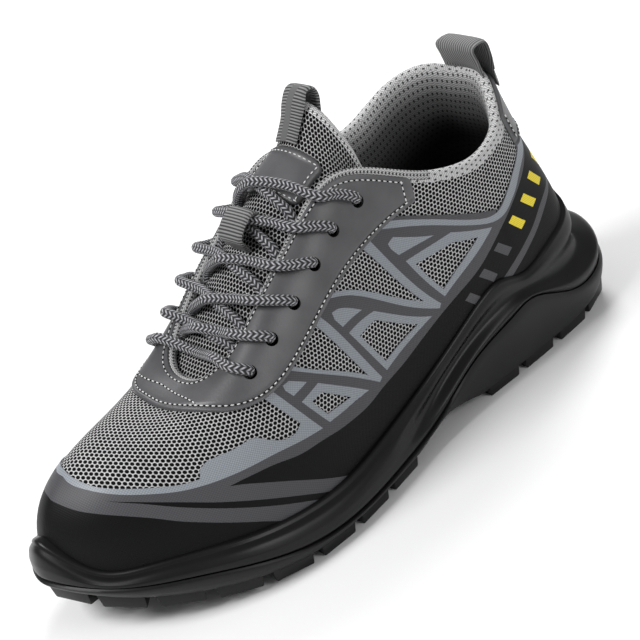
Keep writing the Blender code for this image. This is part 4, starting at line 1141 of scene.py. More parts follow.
def layer_loops(t, shallow, deep, steps, thickness, loft_height):
    """Loops round a layer on the upper: along its face from its upper to its lower edge and back below."""
    loops, uv = [], []
    width, slant = deep - shallow, edge_slant(t, deep)
    ends = from_ends(len(t))
    for k, (place_t, below) in enumerate(zip(t, rib_depths(t))):
        edge = EDGE_STEPS * min(1, 0.8 * width[k] / (EDGE_STEPS[-1] * (1 + 1 / slant[k])))
        low = width[k] - edge / slant[k]
        across = np.concatenate([edge, np.linspace(edge[-1], low[-1], steps)[1:-1], low[::-1]])
        share, depth = across / width[k], shallow[k] + across
        from_low = (width[k] - across) * slant[k]
        near = np.minimum(across, from_low)
        height = thickness * np.sqrt(1 - (1 - np.clip(near / EDGE_ROUND, 0, 1)) ** 2)
        height = height * (1 - STITCH_SINK * np.exp(-(((from_low - STITCH_INSET) / STITCH_DENT) ** 2)))
        height = height * min(1, (ends[k] + 0.02) / 2.5) + loft_height * np.sin(math.pi * share) ** 2
        row_t = np.full(len(share), place_t)
        v = np.interp(-depth, -below, RIB_SHARES)
        under = off_upper(row_t, v, np.full(len(v), 0.1 * FIT_GAP))
        loops.append(np.concatenate([off_upper(row_t, v, FIT_GAP + height), under[::-1]]))
        run = np.stack([np.full(len(depth), k), depth], 1)
        uv.append(np.concatenate([run, run[::-1], run[:1]]))
    return np.array(loops), np.array(uv)


def lace_pins():
    """One mesh with a pin through each lace hole."""
    bm = bmesh.new()
    for rim_along, depth, _, _ in EYELETS:
        for side in (1, -1):
            t = ring_at_rim(rim_along * GRADED, side)
            centre, above = (on_eyestay(t, depth * GRADED + HOLE_SHIFT, height) for height in (0, MM))
            way = Vector(above - centre).to_track_quat("Z", "Y").to_matrix().to_4x4()
            bmesh.ops.create_cone(bm, cap_ends=True, segments=PIN_SIDES, radius1=HOLE_RADIUS, radius2=HOLE_RADIUS,
                                  depth=PIN_LENGTH, matrix=Matrix.Translation(centre) @ way)
    mesh = bpy.data.meshes.new("lace pins")
    bm.to_mesh(mesh)
    bm.free()
    return mesh


EYESTAY_TOP = 90
first_t, last_t = (ring_at_rim(EYESTAY_TOP * GRADED, side) for side in (1, -1))
eyestay_t = np.linspace(first_t, last_t, 260)
eyestay_deep = UPPER["eyestay"](eyestay_t)
eyestay_deep = eyestay_deep + LEATHER_LAP / edge_slant(eyestay_t, eyestay_deep)
eyestay_shallow = np.full(len(eyestay_t), LEATHER_START)
loops, uv = layer_loops(eyestay_t, eyestay_shallow, eyestay_deep, 14, OVERLAY, 0.25 * MM)
eyestay_mesh = loft("eyestay_leather", loops, uv, sharp=LEATHER_SHARP)
eyestay = piece("eyestay_leather", eyestay_mesh, [leather], ["eyestay"])
tab_t = np.linspace(-TAB_HALF, TAB_HALF, 60)
tab_shallow = np.full(len(tab_t), LEATHER_START)
loops, uv = layer_loops(tab_t, tab_shallow, tab_edge(tab_t, TAB_DEPTH), 12, OVERLAY, 0.2 * MM)
tab_mesh = loft("heel_tab_leather", loops, uv, sharp=LEATHER_SHARP)
piece("heel_tab_leather", tab_mesh, [leather], ["heel_tab"])

# %% Punch the lace holes
pins = in_scene("lace pins", lace_pins())
for target in (eyestay, upper_cloth):
    punch = target.modifiers.new("punch", "BOOLEAN")
    punch.operation, punch.object, punch.solver = "DIFFERENCE", pins, "EXACT"
    target.data = applied(target)
    print(target.name, "punched:", len(target.data.polygons), "faces")
bpy.data.objects.remove(pins)

# %% [markdown]
# ## Tongue
# The tongue is a padded flap of open mesh, bound at its free edge with the same knit as the lining.
# Its arch is repeated from the solid; the edge is rounded off row by row, and the wall closes on itself.

# %% Tongue surface
TONGUE_FLANK = np.array([16, 12, 8, 4.5, 1.5]) * GRADED
TONGUE_THICKNESS = 5 * MM
ARCH_POINTS = 33
THROAT_END, TONGUE_TOP = 201, 105  # places along the rim
TOP_ROLL = ((0.9, 0.86), (1.6, 0.62), (2.0, 0.3), (2.1, 0.06))  # rise in millimetres and share of the thickness
BOUND_TOP, BOUND_SIDE = 5, 22  # rows of the bound edge, across the top and down the sides
RUN_COLUMN, ZERO_COLUMN = 20, 18  # columns from which the pattern is measured


def under_upper(t, depth, play):
    v = rib_share(t, depth)
    return off_upper(np.broadcast_to(t, v.shape), v, -(UPPER_WALL + np.broadcast_to(play, v.shape)))


def tongue_flanks(along):
    """Points under the throat's two sides beside one place on the rim, lateral side first."""
    play = TONGUE["play"](along) * MM
    sides = (ring_at_rim(along * GRADED, side) for side in (1, -1))
    return [under_upper(np.full(len(TONGUE_FLANK), t), TONGUE_FLANK, play) for t in sides]


def tongue_point(along, share):
    """The tongue's arch beside one place on the rim, at shares of the way from lateral to medial."""
    lateral, medial = (flank[-1] for flank in tongue_flanks(along))
    share = np.atleast_1d(share)[:, None]
    lean = TONGUE["lean"](along)
    lift = np.array([0, -lean, math.sqrt(1 - lean**2)]) * TONGUE["crown"](along) * GRADED
    rise = np.maximum(4 * share * (1 - share), 0) ** TONGUE["shoulder"](along)
    return lateral * (1 - share) + medial * share + lift * rise


def tongue_normal(along, share):
    step = 0.02
    across = tongue_point(along, share + step) - tongue_point(along, share - step)
    backward = tongue_point(along - 10 * step, share) - tongue_point(along + 10 * step, share)
    return unit(np.cross(backward, across))


def above_tongue(along, share, height):
    return tongue_point(along, share) + tongue_normal(along, share) * np.asarray(height)[..., None]


def tongue_face(along):
    """One row of the tongue's outer face."""
    lateral, medial = tongue_flanks(along)
    share = np.linspace(0, 1, ARCH_POINTS + 2)[1:-1]
    return np.concatenate([lateral, tongue_point(along, share), medial[::-1]])


def tongue_front(depth):
    """A row of the tongue's front end, tucked under the vamp."""
    first, last = (ring_at_rim(THROAT_END * GRADED, side) for side in (1, -1))
    share = np.linspace(0, 1, 2 * len(TONGUE_FLANK) + ARCH_POINTS)
    depths = depth * GRADED + (TONGUE_FLANK[0] - depth * GRADED) * np.abs(2 * share - 1) ** 6
    return under_upper(first + share * (last - first), depths, TONGUE["play"](THROAT_END) * MM)


tongue_along = np.concatenate([np.linspace(196, 122, 38), np.linspace(120.5, TONGUE_TOP, 22)])
face = [tongue_front(depth) for depth in (14, 10, 6, 2)] + [tongue_face(along) for along in tongue_along]
face = np.array(face)
round_way, along_way = np.gradient(face, axis=1), np.gradient(face, axis=0)
normal = unit(np.cross(along_way, round_way))
depth = np.full(face.shape[:2], TONGUE_THICKNESS)
depth *= np.clip(from_ends(face.shape[1]) / 3 + 0.25, 0, 1)[None, :]
rows = [np.concatenate([o, (o - n * d[:, None])[::-1]]) for o, n, d in zip(face, normal, depth)]
top_way = unit(face[-1] - face[-3])
for rise, left in TOP_ROLL:
    middle = face[-1] - normal[-1] * depth[-1][:, None] / 2 + top_way * rise * MM
    half = normal[-1] * depth[-1][:, None] / 2 * left
    rows.append(np.concatenate([middle + half, (middle - half)[::-1]]))
rows = np.array(rows)
run_across = np.cumsum(np.linalg.norm(np.diff(rows, axis=1, prepend=rows[:, :1]), axis=2), axis=1)
run_down = np.broadcast_to(run_along(rows[:, RUN_COLUMN])[:, None], run_across.shape)
uv = np.stack([run_across - run_across[:, ZERO_COLUMN, None], run_down], -1)
uv = np.concatenate([uv, uv[:, -1:]], axis=1)
slots = np.zeros((len(rows) - 1, rows.shape[1]), int)
slots[:, face.shape[1] - 1 :] = 1
slots[-BOUND_TOP:] = 1
slots[-BOUND_SIDE:, [0, face.shape[1] - 1]] = 1
tongue_skin = loft("tongue_cloth", rows, uv, slots=slots)
tongue = piece("tongue_cloth", tongue_skin, [tongue_mesh, lining], ["tongue"])

# %% [markdown]
# ## Patch, pull loops and keeper
# A plain leather patch closes the tongue's top, with a ribbed pull tab above it and a webbing keeper that
# holds the lace in the middle. A strap is a flat cord: rows of points, thickened with rounded edges.

# %% Straps
STRAP_POINTS, STRAP_EDGE = 15, 10.4  # points across a strap, and how square its edges are
STRAP_STEP, STRAP_SHARP = 1.2 * MM, 50
ROW_SHARES = 5  # points in each row that a strap runs through
PULL_ROWS, PULL_SHARES, PULL_RISE = [114.8, 111.5, 108], (0.4, 0.74), 8.5 * MM
HEEL_HEM, HEEL_RISE, HEEL_UP = (6 * MM, 0.6 * MM), 15 * MM, np.array([0, -0.25, 0.97])
TOE_WAY = np.array([0, -1.0, 0])
KEEPER_ROWS, KEEPER_SHARES, KEEPER_RISE = (146, 147, 157, 158.5), (0.34, 0.61), 10.2 * MM


def resampled(line, count):
    """A line of points with another count of them."""
    wanted, given = np.linspace(0, 1, count), np.linspace(0, 1, len(line))
    return np.stack([np.interp(wanted, given, line[:, axis]) for axis in range(3)], 1)


def strap_loops(rows, thickness, step):
    """Loops round a strap whose middle runs through rows of points."""
    rows = np.asarray(rows, float)
    lines = [smooth_through(rows[:, k], step) for k in range(rows.shape[1])]
    count = max(len(line) for line in lines)
    fine = []
    for row in np.stack([resampled(line, count) for line in lines], 1):
        gap = np.linalg.norm(row[-1] - row[0]) / (STRAP_POINTS - 1)
        fine.append(smooth_through(row, gap)[:STRAP_POINTS])
    fine = np.array(fine)
    normal = unit(np.cross(np.gradient(fine, axis=0), np.gradient(fine, axis=1)))
    across = np.linspace(-1, 1, fine.shape[1])
    half = thickness / 2 * (1 - np.abs(across) ** STRAP_EDGE) ** 0.5
    half = np.maximum(half, 0.02 * thickness)[None, :, None]
    loops = np.concatenate([fine + normal * half, (fine - normal * half)[:, ::-1]], axis=1)
    width = np.linalg.norm(np.diff(fine, axis=1, prepend=fine[:, :1]), axis=2).cumsum(1)
    middle = STRAP_POINTS // 2
    run = np.broadcast_to(run_along(fine[:, middle])[:, None], width.shape)
    flat = np.stack([width - width[:, middle, None], run], -1)
    return loops, np.concatenate([flat, flat[:, ::-1], flat[:, :1]], axis=1)


def levelled(edge):
    """A row that keeps its width and is drawn nearly level with its middle."""
    level = edge.copy()
    level[:, 1:] = 0.15 * edge[:, 1:] + 0.85 * edge[len(edge) // 2, 1:]
    return level


def tongue_loop_rows():
    share = np.linspace(*PULL_SHARES, ROW_SHARES)
    clear = 2 * FIT_GAP + WEBBING / 2
    behind = -TONGUE_THICKNESS - 3 * clear
    face_way, edge = tongue_normal(TONGUE_TOP, share), tongue_point(TONGUE_TOP, share)
    up = unit((edge - tongue_point(PULL_ROWS[-1], share)).mean(axis=0)) * PULL_RISE
    level, front = levelled(edge), unit(face_way.mean(axis=0))
    return [above_tongue(along, share, clear) for along in PULL_ROWS] + [
        edge + face_way * 1.8 * clear,
        level + front * 1.2 * clear + up * 0.6,
        level - front * 0.6 * clear + up,
        level - front * (0.6 * clear + 2.2 * WEBBING) + up,
        level + front * 0.75 * behind + up * 0.6,
        level + front * behind + up * 0.15,
    ]


def heel_loop_rows():
    t = np.linspace(-1, 1, ROW_SHARES)
    clear = 3 * FIT_GAP + OVERLAY + WEBBING / 2
    rim, up = upper_point(t, 1), HEEL_UP * HEEL_RISE
    level = levelled(rim)
    return [row_on_upper(t, depth, clear) for depth in HEEL_HEM] + [
        level - TOE_WAY * 1.1 * clear + up * 0.55,
        level - TOE_WAY * 1.2 * clear + up,
        level + TOE_WAY * 1.1 * clear + up,
        level + TOE_WAY * 1.3 * clear + up * 0.55,
        rim + TOE_WAY * 0.6 * clear + np.array([0, 0, FIT_GAP + 0.5 * WEBBING]),
    ]


def keeper_rows():
    share = np.linspace(*KEEPER_SHARES, ROW_SHARES)
    clear = FIT_GAP + WEBBING / 2
    heights = [clear, KEEPER_RISE, KEEPER_RISE, clear]
    return [above_tongue(along, share, height) for along, height in zip(KEEPER_ROWS, heights)]


for name, rows, finish, node_name in (
    ("tongue_pull", tongue_loop_rows(), pull_webbing, "tongue_loop"),
    ("heel_pull", heel_loop_rows(), heel_webbing, "heel_loop"),
    ("keeper_strap", keeper_rows(), keeper_webbing, "lace_keeper"),
):
    loops, uv = strap_loops(rows, WEBBING, STRAP_STEP)
    piece(name, loft(name, loops, uv, sharp=STRAP_SHARP), [finish], [node_name])

# %% Tongue patch
PATCH_ENDS, PATCH_HALF, PATCH_CORNER = (137, 116), 0.42, 4.5
PATCH_ROWS, PATCH_COLUMNS, PATCH_STEPS, PATCH_EDGE = 26, 29, (1.3, 1.6), 1.4  # steps and edge in millimetres
TONGUE_WIDTH = 46
patch_along = np.linspace(*PATCH_ENDS, PATCH_ROWS)
to_end = np.clip(np.minimum(PATCH_ENDS[0] - patch_along, patch_along - PATCH_ENDS[1]), 0, PATCH_CORNER)
corner = PATCH_CORNER - np.sqrt(PATCH_CORNER**2 - (PATCH_CORNER - to_end) ** 2)
patch_share = 0.5 + (PATCH_HALF - corner[:, None] / TONGUE_WIDTH) * np.linspace(-1, 1, PATCH_COLUMNS)
patch_face = np.array([tongue_point(along, share) for along, share in zip(patch_along, patch_share)])
patch_normal = np.array([tongue_normal(along, share) for along, share in zip(patch_along, patch_share)])
edge_rows = from_ends(PATCH_ROWS)[:, None] * PATCH_STEPS[0]
edge_columns = from_ends(PATCH_COLUMNS)[None, :] * PATCH_STEPS[1]
near = np.minimum(edge_rows, edge_columns)
height = FIT_GAP + OVERLAY * np.sqrt(1 - (1 - np.clip((near + 0.05) / PATCH_EDGE, 0, 1)) ** 2)
top = patch_face + patch_normal * height[..., None]
bottom = patch_face + patch_normal * 0.2 * FIT_GAP
loops = np.concatenate([top, bottom[:, ::-1]], axis=1)
patch_mesh = loft("tongue_patch_leather", loops, sharp=LEATHER_SHARP)
piece("tongue_patch_leather", patch_mesh, [leather], ["tongue_patch"])

# %% [markdown]
# ## Lace
# One round braided lace runs through all twelve holes: out of a hole, over the throat, under the far side
# and up through the next hole. It is one cord from top hole to top hole, so its path is one smooth curve,
# and where two strands cross, the outer side's strand rides over the other.

# %% Lace path and tube
STRAND_OVER = 2.05 * LACE_RADIUS
RIM_DEPTH, FAR_DEPTH = 3 * MM, 4 * MM  # how far below the rim a strand leaves the leather and dips under it
HOLE_ANGLES = np.radians([-50, 0, 45, 80])
STRAND_SHAPE = ((0.23, 1, 0.6), (0.5, 1, 1), (0.7, 1, 0.35), (0.86, 0.7, 0))  # shares of way, height and hump
LACE_SIDES, LACE_STEP = 14, 0.9 * MM
LACE_ABOVE, LACE_BELOW = 4 * FIT_GAP + OVERLAY + LACE_RADIUS, UPPER_WALL + 1.15 * LACE_RADIUS


def hole_run(row, side):
    """Up through a lace hole on a half circle: from under the wall to the top of the leather."""
    rim_along, depth, near, _ = EYELETS[row]
    hole, rim = (ring_at_rim(along * GRADED, side) for along in (rim_along, near))
    deep = depth * GRADED
    way = np.linalg.norm(on_eyestay(rim, RIM_DEPTH, 0) - on_eyestay(hole, deep, 0))
    middle, turn = 0.5 * (LACE_ABOVE - LACE_BELOW), 0.5 * (LACE_ABOVE + LACE_BELOW)
    points = []
    for angle in HOLE_ANGLES:
        share, height = turn * (1 - math.cos(angle)) / way, middle + turn * math.sin(angle)
        points.append(on_eyestay(hole + share * (rim - hole), deep + share * (RIM_DEPTH - deep), height))
    return points


def over_run(row, side):
    """From the top of a hole over the throat's near rim."""
    rim_along, depth, near, _ = EYELETS[row]
    hole, rim = (ring_at_rim(along * GRADED, side) for along in (rim_along, near))
    return [
        on_eyestay(hole + 0.6 * (rim - hole), 0.4 * depth * GRADED + 0.6 * RIM_DEPTH, LACE_ABOVE),
        on_eyestay(rim, RIM_DEPTH, LACE_ABOVE + 0.5 * LACE_RADIUS),
    ]


def strand(row, side):
    """One strand from its hole to the far rim, without the hole runs."""
    _, _, near, far = EYELETS[row]
    over = LACE_RADIUS + 3 * FIT_GAP + (OVERLAY if row == 0 else 0)
    hump = STRAND_OVER if side > 0 else 0
    middle = []
    for share, clear, high in STRAND_SHAPE:
        across = share if side > 0 else 1 - share
        middle.append(above_tongue(near + share * (far - near), across, clear * over + high * hump)[0])
    far_t = ring_at_rim(far * GRADED, -side)
    return over_run(row, side) + middle + [on_eyestay(far_t, FAR_DEPTH, -LACE_BELOW - 0.2 * MM)]


def half_lace(side):
    points = []
    for row in range(len(EYELETS) - 1):
        points += hole_run(row, side) + strand(row, side)
        side = -side
    return points + hole_run(len(EYELETS) - 1, side), side


from_lateral, end_side = half_lace(1)
from_medial, _ = half_lace(-1)
last_row = len(EYELETS) - 1
bar = over_run(last_row, end_side)
bar.append(above_tongue(EYELETS[last_row][2], 0.5, LACE_RADIUS + 2 * FIT_GAP)[0])
bar += over_run(last_row, -end_side)[::-1]
lace_path = smooth_through(np.array(from_lateral + bar + from_medial[::-1]), LACE_STEP)


def tube_loops(path, radius, sides):
    """Loops round a path that don't twist."""
    ways = unit(np.gradient(path, axis=0))
    side = unit(np.cross(ways[0], [0.0, 0.3, 1.0]))
    loops = []
    angles = np.linspace(0, 2 * math.pi, sides, endpoint=False)
    for spot, way in zip(path, ways):
        side = unit(side - way * (side @ way))
        other = np.cross(way, side)
        loops.append(spot + radius * (np.cos(angles)[:, None] * side + np.sin(angles)[:, None] * other))
    return np.array(loops)


lace_loops = tube_loops(lace_path, LACE_RADIUS, LACE_SIDES)
lace_run = run_along(lace_path)
uv = np.stack(np.meshgrid(lace_run, np.linspace(0, 1, LACE_SIDES + 1), indexing="ij"), -1)
crossings = [f"lace_cross_{k}" for k in range(1, 6)]
lace = piece("lace", loft("lace", lace_loops, uv), [lace_braid], crossings + ["lace_bar"])
print("lace length", round(lace_run[-1], 3), "m")

# %% [markdown]
# ## Sole
# The midsole is one moulding with a rolled lip, a soft ridge and a channel along its side; the outsole
# wraps up round it and carries the lugs. Their sides are profiles round the same outline, sampled finely
# enough for the ridge to catch the light. Lugs are tapered blocks with bevelled edges.

# %% Midsole
SEAM_EASE, LIP_ROUND, OUTSOLE_RIM, RIM_DRAFT, LUG_DEPTH = 0.8 * MM, 1.6 * MM, 5 * MM, 1 * MM, 4.5 * MM
LIP_GAP, LIP_DRAW = 0.5 * MM, 2 * MM
FOREFOOT_PLAIN = (105 * MM, 150 * MM)  # the side's channel fades out between these places along the foot
DECK_DROP, DECK_LEAST = 8 * MM, 2.8 * MM  # the midsole's floor: below the foot, and above the tread's floor
MIDSOLE_PLACES, OUTSOLE_PLACES = [0, 0.13, 0.42, 0.56, 0.8, 1], [0, 0.2, 0.5, 0.85, 1]  # shares up the side
SOLE_SHARP = 50
sole_t = np.linspace(0, STATIONS, 420, endpoint=False)
flush = np.zeros(len(sole_t))


def sole_floor(t):
    return TREAD(SOLE["along"](t)) + LUG_DEPTH


def deck(t):
    wanted = np.minimum(SOLE["seam"](t), UPPER["foot"](t) - DECK_DROP)
    return np.maximum(wanted, sole_floor(t) + DECK_LEAST)


def side_profile(places, offsets, shares):
    """Offsets between a few profile places, smooth up the side."""
    curves = [steady_curve(places, column) for column in np.stack(offsets, 1)]
    return np.array([curve(shares) for curve in curves]).T


def sole_solid(name, rings):
    """A closed solid through stacked rings, each end closed rung by rung across the foot."""
    rings = np.asarray(rings)
    rows, count = rings.shape[:2]
    mesh = bpy.data.meshes.new(name)
    bm = bmesh.new()
    verts = [bm.verts.new(p) for p in rings.reshape(-1, 3)]
    i, j = np.meshgrid(np.arange(rows - 1), np.arange(count), indexing="ij")
    for a, b in zip(i.ravel(), j.ravel()):
        c, low, high = (b + 1) % count, a * count, (a + 1) * count
        bm.faces.new([verts[k] for k in (low + b, high + b, high + c, low + c)])
    for row in (0, rows - 1):
        ring = verts[row * count : (row + 1) * count]
        for k in range(count // 2):
            bm.faces.new(list(dict.fromkeys([ring[k], ring[k + 1], ring[-k - 1], ring[-k]])))
    bmesh.ops.triangulate(bm, faces=[f for f in bm.faces if len(f.verts) > 4])
    bm.to_mesh(mesh)
    bm.free()
    return smooth(mesh, SOLE_SHARP)


base = SOLE["seam"](sole_t) + FIT_GAP
lip, set_back, channel = (SOLE[name](sole_t) for name in ("lip", "set_back", "channel"))
lip_v = lip_share(sole_t)
at_upper = ((upper_point(sole_t, lip_v) - outline(sole_t, flush, lip)) * outward(sole_t)).sum(1)
set_back = np.clip(-at_upper - LIP_ROUND - LIP_GAP, set_back, set_back + LIP_DRAW)
waist_share = np.interp(SOLE["along"](sole_t), FOREFOOT_PLAIN, (1, 0))
channel = channel * waist_share**2 * (3 - 2 * waist_share)
shares = np.linspace(0, 1, 34)
offsets = side_profile(
    MIDSOLE_PLACES,
    [
        flush - 1.6 * SEAM_EASE,
        flush - 0.5 * SEAM_EASE,
        -channel - (0.15 + 0.35 * waist_share) * set_back,
        -channel - (0.25 + 0.37 * waist_share) * set_back,
        0.2 * MM - (0.55 + 0.35 * waist_share) * set_back,
        -set_back,
    ],
    shares,
)
rings = [outline(sole_t, flush - OUTSOLE_RIM - RIM_DRAFT - FIT_GAP, deck(sole_t) + FIT_GAP),
         outline(sole_t, flush - OUTSOLE_RIM - FIT_GAP, base)]
rings += [outline(sole_t, offsets[k], base + s * (lip - LIP_ROUND - base)) for k, s in enumerate(shares)]
for angle in np.radians([30, 60, 90]):
    drawn_in, drop = LIP_ROUND * (1 - math.cos(angle)), LIP_ROUND * (1 - math.sin(angle))
    rings.append(outline(sole_t, -set_back - drawn_in, lip - drop))
for share in (1, 0.6, 0.25, 0):
    drop = FIT_GAP if share == 0 else 0
    rings.append(upper_point(sole_t, share * lip_v) + outward(sole_t) * FIT_GAP - np.array([0, 0, drop]))
piece("midsole_foam", sole_solid("midsole_foam", rings), [midsole_skin], ["midsole"])

# %% Outsole and its lugs
FLOOR_EDGE, FLOOR_RISE = 1.2 * MM, 0.6 * MM  # the rounding where the side meets the floor
floor, seam, taper = sole_floor(sole_t), SOLE["seam"](sole_t), SOLE["taper"](sole_t)
shares = np.linspace(0, 1, 16)
offsets = side_profile(OUTSOLE_PLACES, [-taper, -0.6 * taper, -0.22 * taper, flush, flush - SEAM_EASE], shares)
rings = [outline(sole_t, -taper - FLOOR_EDGE, floor)]
for share, offset in zip(shares, offsets):
    start = floor + FLOOR_RISE * (1 - share)
    rings.append(outline(sole_t, offset, start + share * (seam - start)))
rings.append(outline(sole_t, flush - OUTSOLE_RIM, seam))
rings.append(outline(sole_t, flush - OUTSOLE_RIM - RIM_DRAFT, deck(sole_t)))
outsole_mesh = sole_solid("outsole_rubber", rings)
LUG_TAPER, EDGE_LUG = 0.9 * MM, (23 * MM, 19.5 * MM, 13 * MM, 0.8)  # pitch, length, depth, waist
LUG_SINK, LUG_BEVEL, LUG_SHARP = 2 * MM, 0.7 * MM, math.radians(40)
ARCH_GAP = (97, 131)  # no edge lugs between these places
INNER_LUG, INNER_TURN = (17 * MM, 9 * MM), math.radians(28)
INNER_LUGS = [(20, 1, 9), (40, 1, 10), (60, 1, 10), (80, 1, 10), (150, 4, 12), (172, 5, 15), (194, 4, 17),
              (216, 2, 17), (238, -1, 15), (259, -4, 11)]  # along, middle, spread


def add_lug(bm, centre, turn_by, length, depth, waist=1.0):
    """One tapered block, whose underside follows the tread and whose top sinks into the outsole."""
    for corner in bmesh.ops.create_cube(bm, size=1)["verts"]:
        on_floor = corner.co.z < 0
        shrink = LUG_TAPER if on_floor else 0
        spot = Vector((corner.co.x * (length - 2 * shrink), corner.co.y * (depth - 2 * shrink), 0))
        if corner.co.y < 0:
            spot.x *= waist
        spot = Matrix.Rotation(turn_by, 3, "Z") @ spot + centre
        spot.z = float(TREAD(CENTRE_ALONG - spot.y)) + (0 if on_floor else LUG_DEPTH + LUG_SINK)
        corner.co = spot


bm = bmesh.new()
edge = outline(FINE_RING, -SOLE["taper"](FINE_RING), 0)
run = np.cumsum(np.linalg.norm(np.diff(edge, axis=0, append=edge[:1]), axis=1))
pitch, length, depth, waist = EDGE_LUG
count = round(run[-1] / pitch)
for k in range(count):
    t = np.array([np.interp((k + 0.5) * run[-1] / count, run, FINE_RING)])
    away, rim = outward(t)[0], outline(t, -SOLE["taper"](t), 0)[0]
    if ARCH_GAP[0] < (CENTRE_ALONG - rim[1]) / GRADED < ARCH_GAP[1]:
        continue
    centre, turn_by = Vector(rim - away * (0.5 * depth + 0.2 * MM)), math.atan2(away[1], away[0]) - math.pi / 2
    add_lug(bm, centre, turn_by, length, depth, waist)
for along, middle, spread in INNER_LUGS:
    for side in (-1, 1):
        spot = place(along * GRADED, (middle + side * spread) * GRADED, 0)
        add_lug(bm, Vector(spot), side * INNER_TURN, *INNER_LUG)
bmesh.ops.bevel(bm, geom=bm.edges[:], offset=LUG_BEVEL, segments=2, affect="EDGES", profile=0.6)
bmesh.ops.recalc_face_normals(bm, faces=bm.faces)
bm.from_mesh(outsole_mesh)
bm.to_mesh(outsole_mesh)
bm.free()
outsole_mesh.shade_smooth()
outsole_mesh.set_sharp_from_angle(angle=LUG_SHARP)
piece("outsole_rubber", outsole_mesh, [outsole_skin], ["outsole"])

# %% Footbed
BED_CLEAR = 2.2 * MM
BED_PROFILE = ((0, 0), (0, 2.5), (0.5, 3.5), (1.5, 4), (9, 3.6))  # millimetres in and up
bed_in = SOLE["inset"](sole_t) + UPPER_WALL + BED_CLEAR
bed = UPPER["foot"](sole_t) + FIT_GAP
rings = [outline(sole_t, -bed_in - inward * MM, bed + up * MM) for inward, up in BED_PROFILE]
footbed_mesh = sole_solid("footbed", rings)
spots = np.array([v.co[:2] for v in footbed_mesh.vertices])
set_pattern(footbed_mesh, spots[corner_owners(footbed_mesh)])
footbed = piece("footbed", footbed_mesh, [dark_lining], ["insole"])

# %% [markdown]
# ## Stitches
# Pale thread holds the leather to the cloth. Rows of stitches follow lines that are already known on the
# surface, so a Geometry Nodes tree sets one small capsule after another along each line.

# %% Stitch tree


def stitch_tree():
    tree = bpy.data.node_groups.new("stitch rows", "GeometryNodeTree")
    tree.interface.new_socket("Geometry", in_out="INPUT", socket_type="NodeSocketGeometry")
    for name in ("Pitch", "Stitch length", "Thread width"):
        tree.interface.new_socket(name, in_out="INPUT", socket_type="NodeSocketFloat")
    tree.interface.new_socket("Thread", in_out="INPUT", socket_type="NodeSocketMaterial")
    tree.interface.new_socket("Geometry", in_out="OUTPUT", socket_type="NodeSocketGeometry")
    add = tree.nodes.new
    source, end = add("NodeGroupInput"), add("NodeGroupOutput")
    curve, points = add("GeometryNodeMeshToCurve"), add("GeometryNodeCurveToPoints")
    ball = add("GeometryNodeMeshUVSphere")
    points.mode = "LENGTH"
    ball.inputs["Segments"].default_value, ball.inputs["Rings"].default_value = 6, 5
    ball.inputs["Radius"].default_value = 0.5
    size, copies = add("ShaderNodeCombineXYZ"), add("GeometryNodeInstanceOnPoints")
    real, paint = add("GeometryNodeRealizeInstances"), add("GeometryNodeSetMaterial")
    for a, b in (
        (source.outputs["Geometry"], curve.inputs["Mesh"]), (curve.outputs["Curve"], points.inputs["Curve"]),
        (source.outputs["Pitch"], points.inputs["Length"]), (points.outputs["Points"], copies.inputs["Points"]),
        (points.outputs["Rotation"], copies.inputs["Rotation"]), (ball.outputs["Mesh"], copies.inputs["Instance"]),
        (source.outputs["Thread width"], size.inputs["X"]), (source.outputs["Thread width"], size.inputs["Y"]),
        (source.outputs["Stitch length"], size.inputs["Z"]), (size.outputs[0], copies.inputs["Scale"]),
        (copies.outputs[0], real.inputs[0]), (real.outputs[0], paint.inputs["Geometry"]),
        (source.outputs["Thread"], paint.inputs["Material"]), (paint.outputs[0], end.inputs[0]),
    ):
        tree.links.new(a, b)
    return tree


def stitch_rows(name, lines, pitch, length, width, finish):
    """Stitches along lines of points, as one plain mesh."""
    points, edges = [], []
    for line in lines:
        first = len(points)
        points += np.asarray(line).tolist()
        edges += [(first + k, first + k + 1) for k in range(len(line) - 1)]
    guide = bpy.data.meshes.new(name + " lines")
    guide.from_pydata(points, edges, [])
    holder = in_scene(name + " lines", guide)
    tree = stitch_tree()
    sewing = holder.modifiers.new("sewing", "NODES")
    sewing.node_group = tree
    sockets = {item.name: item.identifier for item in tree.interface.items_tree if item.in_out == "INPUT"}
    for key, value in (("Pitch", pitch), ("Stitch length", length), ("Thread width", width), ("Thread", finish)):
        sewing[sockets[key]] = value
    mesh = applied(holder)
    bpy.data.objects.remove(holder)
    mesh.shade_smooth()
    return piece(name, mesh, [])


STITCH_PITCH, STITCH_LENGTH, THREAD_WIDTH = 2.5 * MM, 1.55 * MM, 0.62 * MM
# Size of the painted shade dashes set between the stitches.
STITCH_SHADE_LENGTH, STITCH_SHADE_WIDTH = 0.95 * MM, 0.6 * MM
SEWN_STEP, RIB_POINTS = 0.25 * MM, 30
THROAT_INSET, TAB_INSET, TAB_SEAM, TAB_SIDE = 3.2 * MM, 2 * MM, 2.15, (3 * MM, 16 * MM)
LENS_BACK, LENS_FRONT, LENS_DEPTH = 3.1, 2.6, 6 * MM  # stations from the toe, and the lens at its deepest
PATCH_SEAM = [(135.2, -0.87), (135.2, 0.87), (117.8, 0.87), (117.8, -0.87)]  # along, and share of the half width
leather_top = FIT_GAP + OVERLAY + 0.2 * MM


def rib_row(t, start, end):
    """A row of stitches along one rib."""
    return row_on_upper(np.full(RIB_POINTS, t), np.linspace(start, end, RIB_POINTS), leather_top)


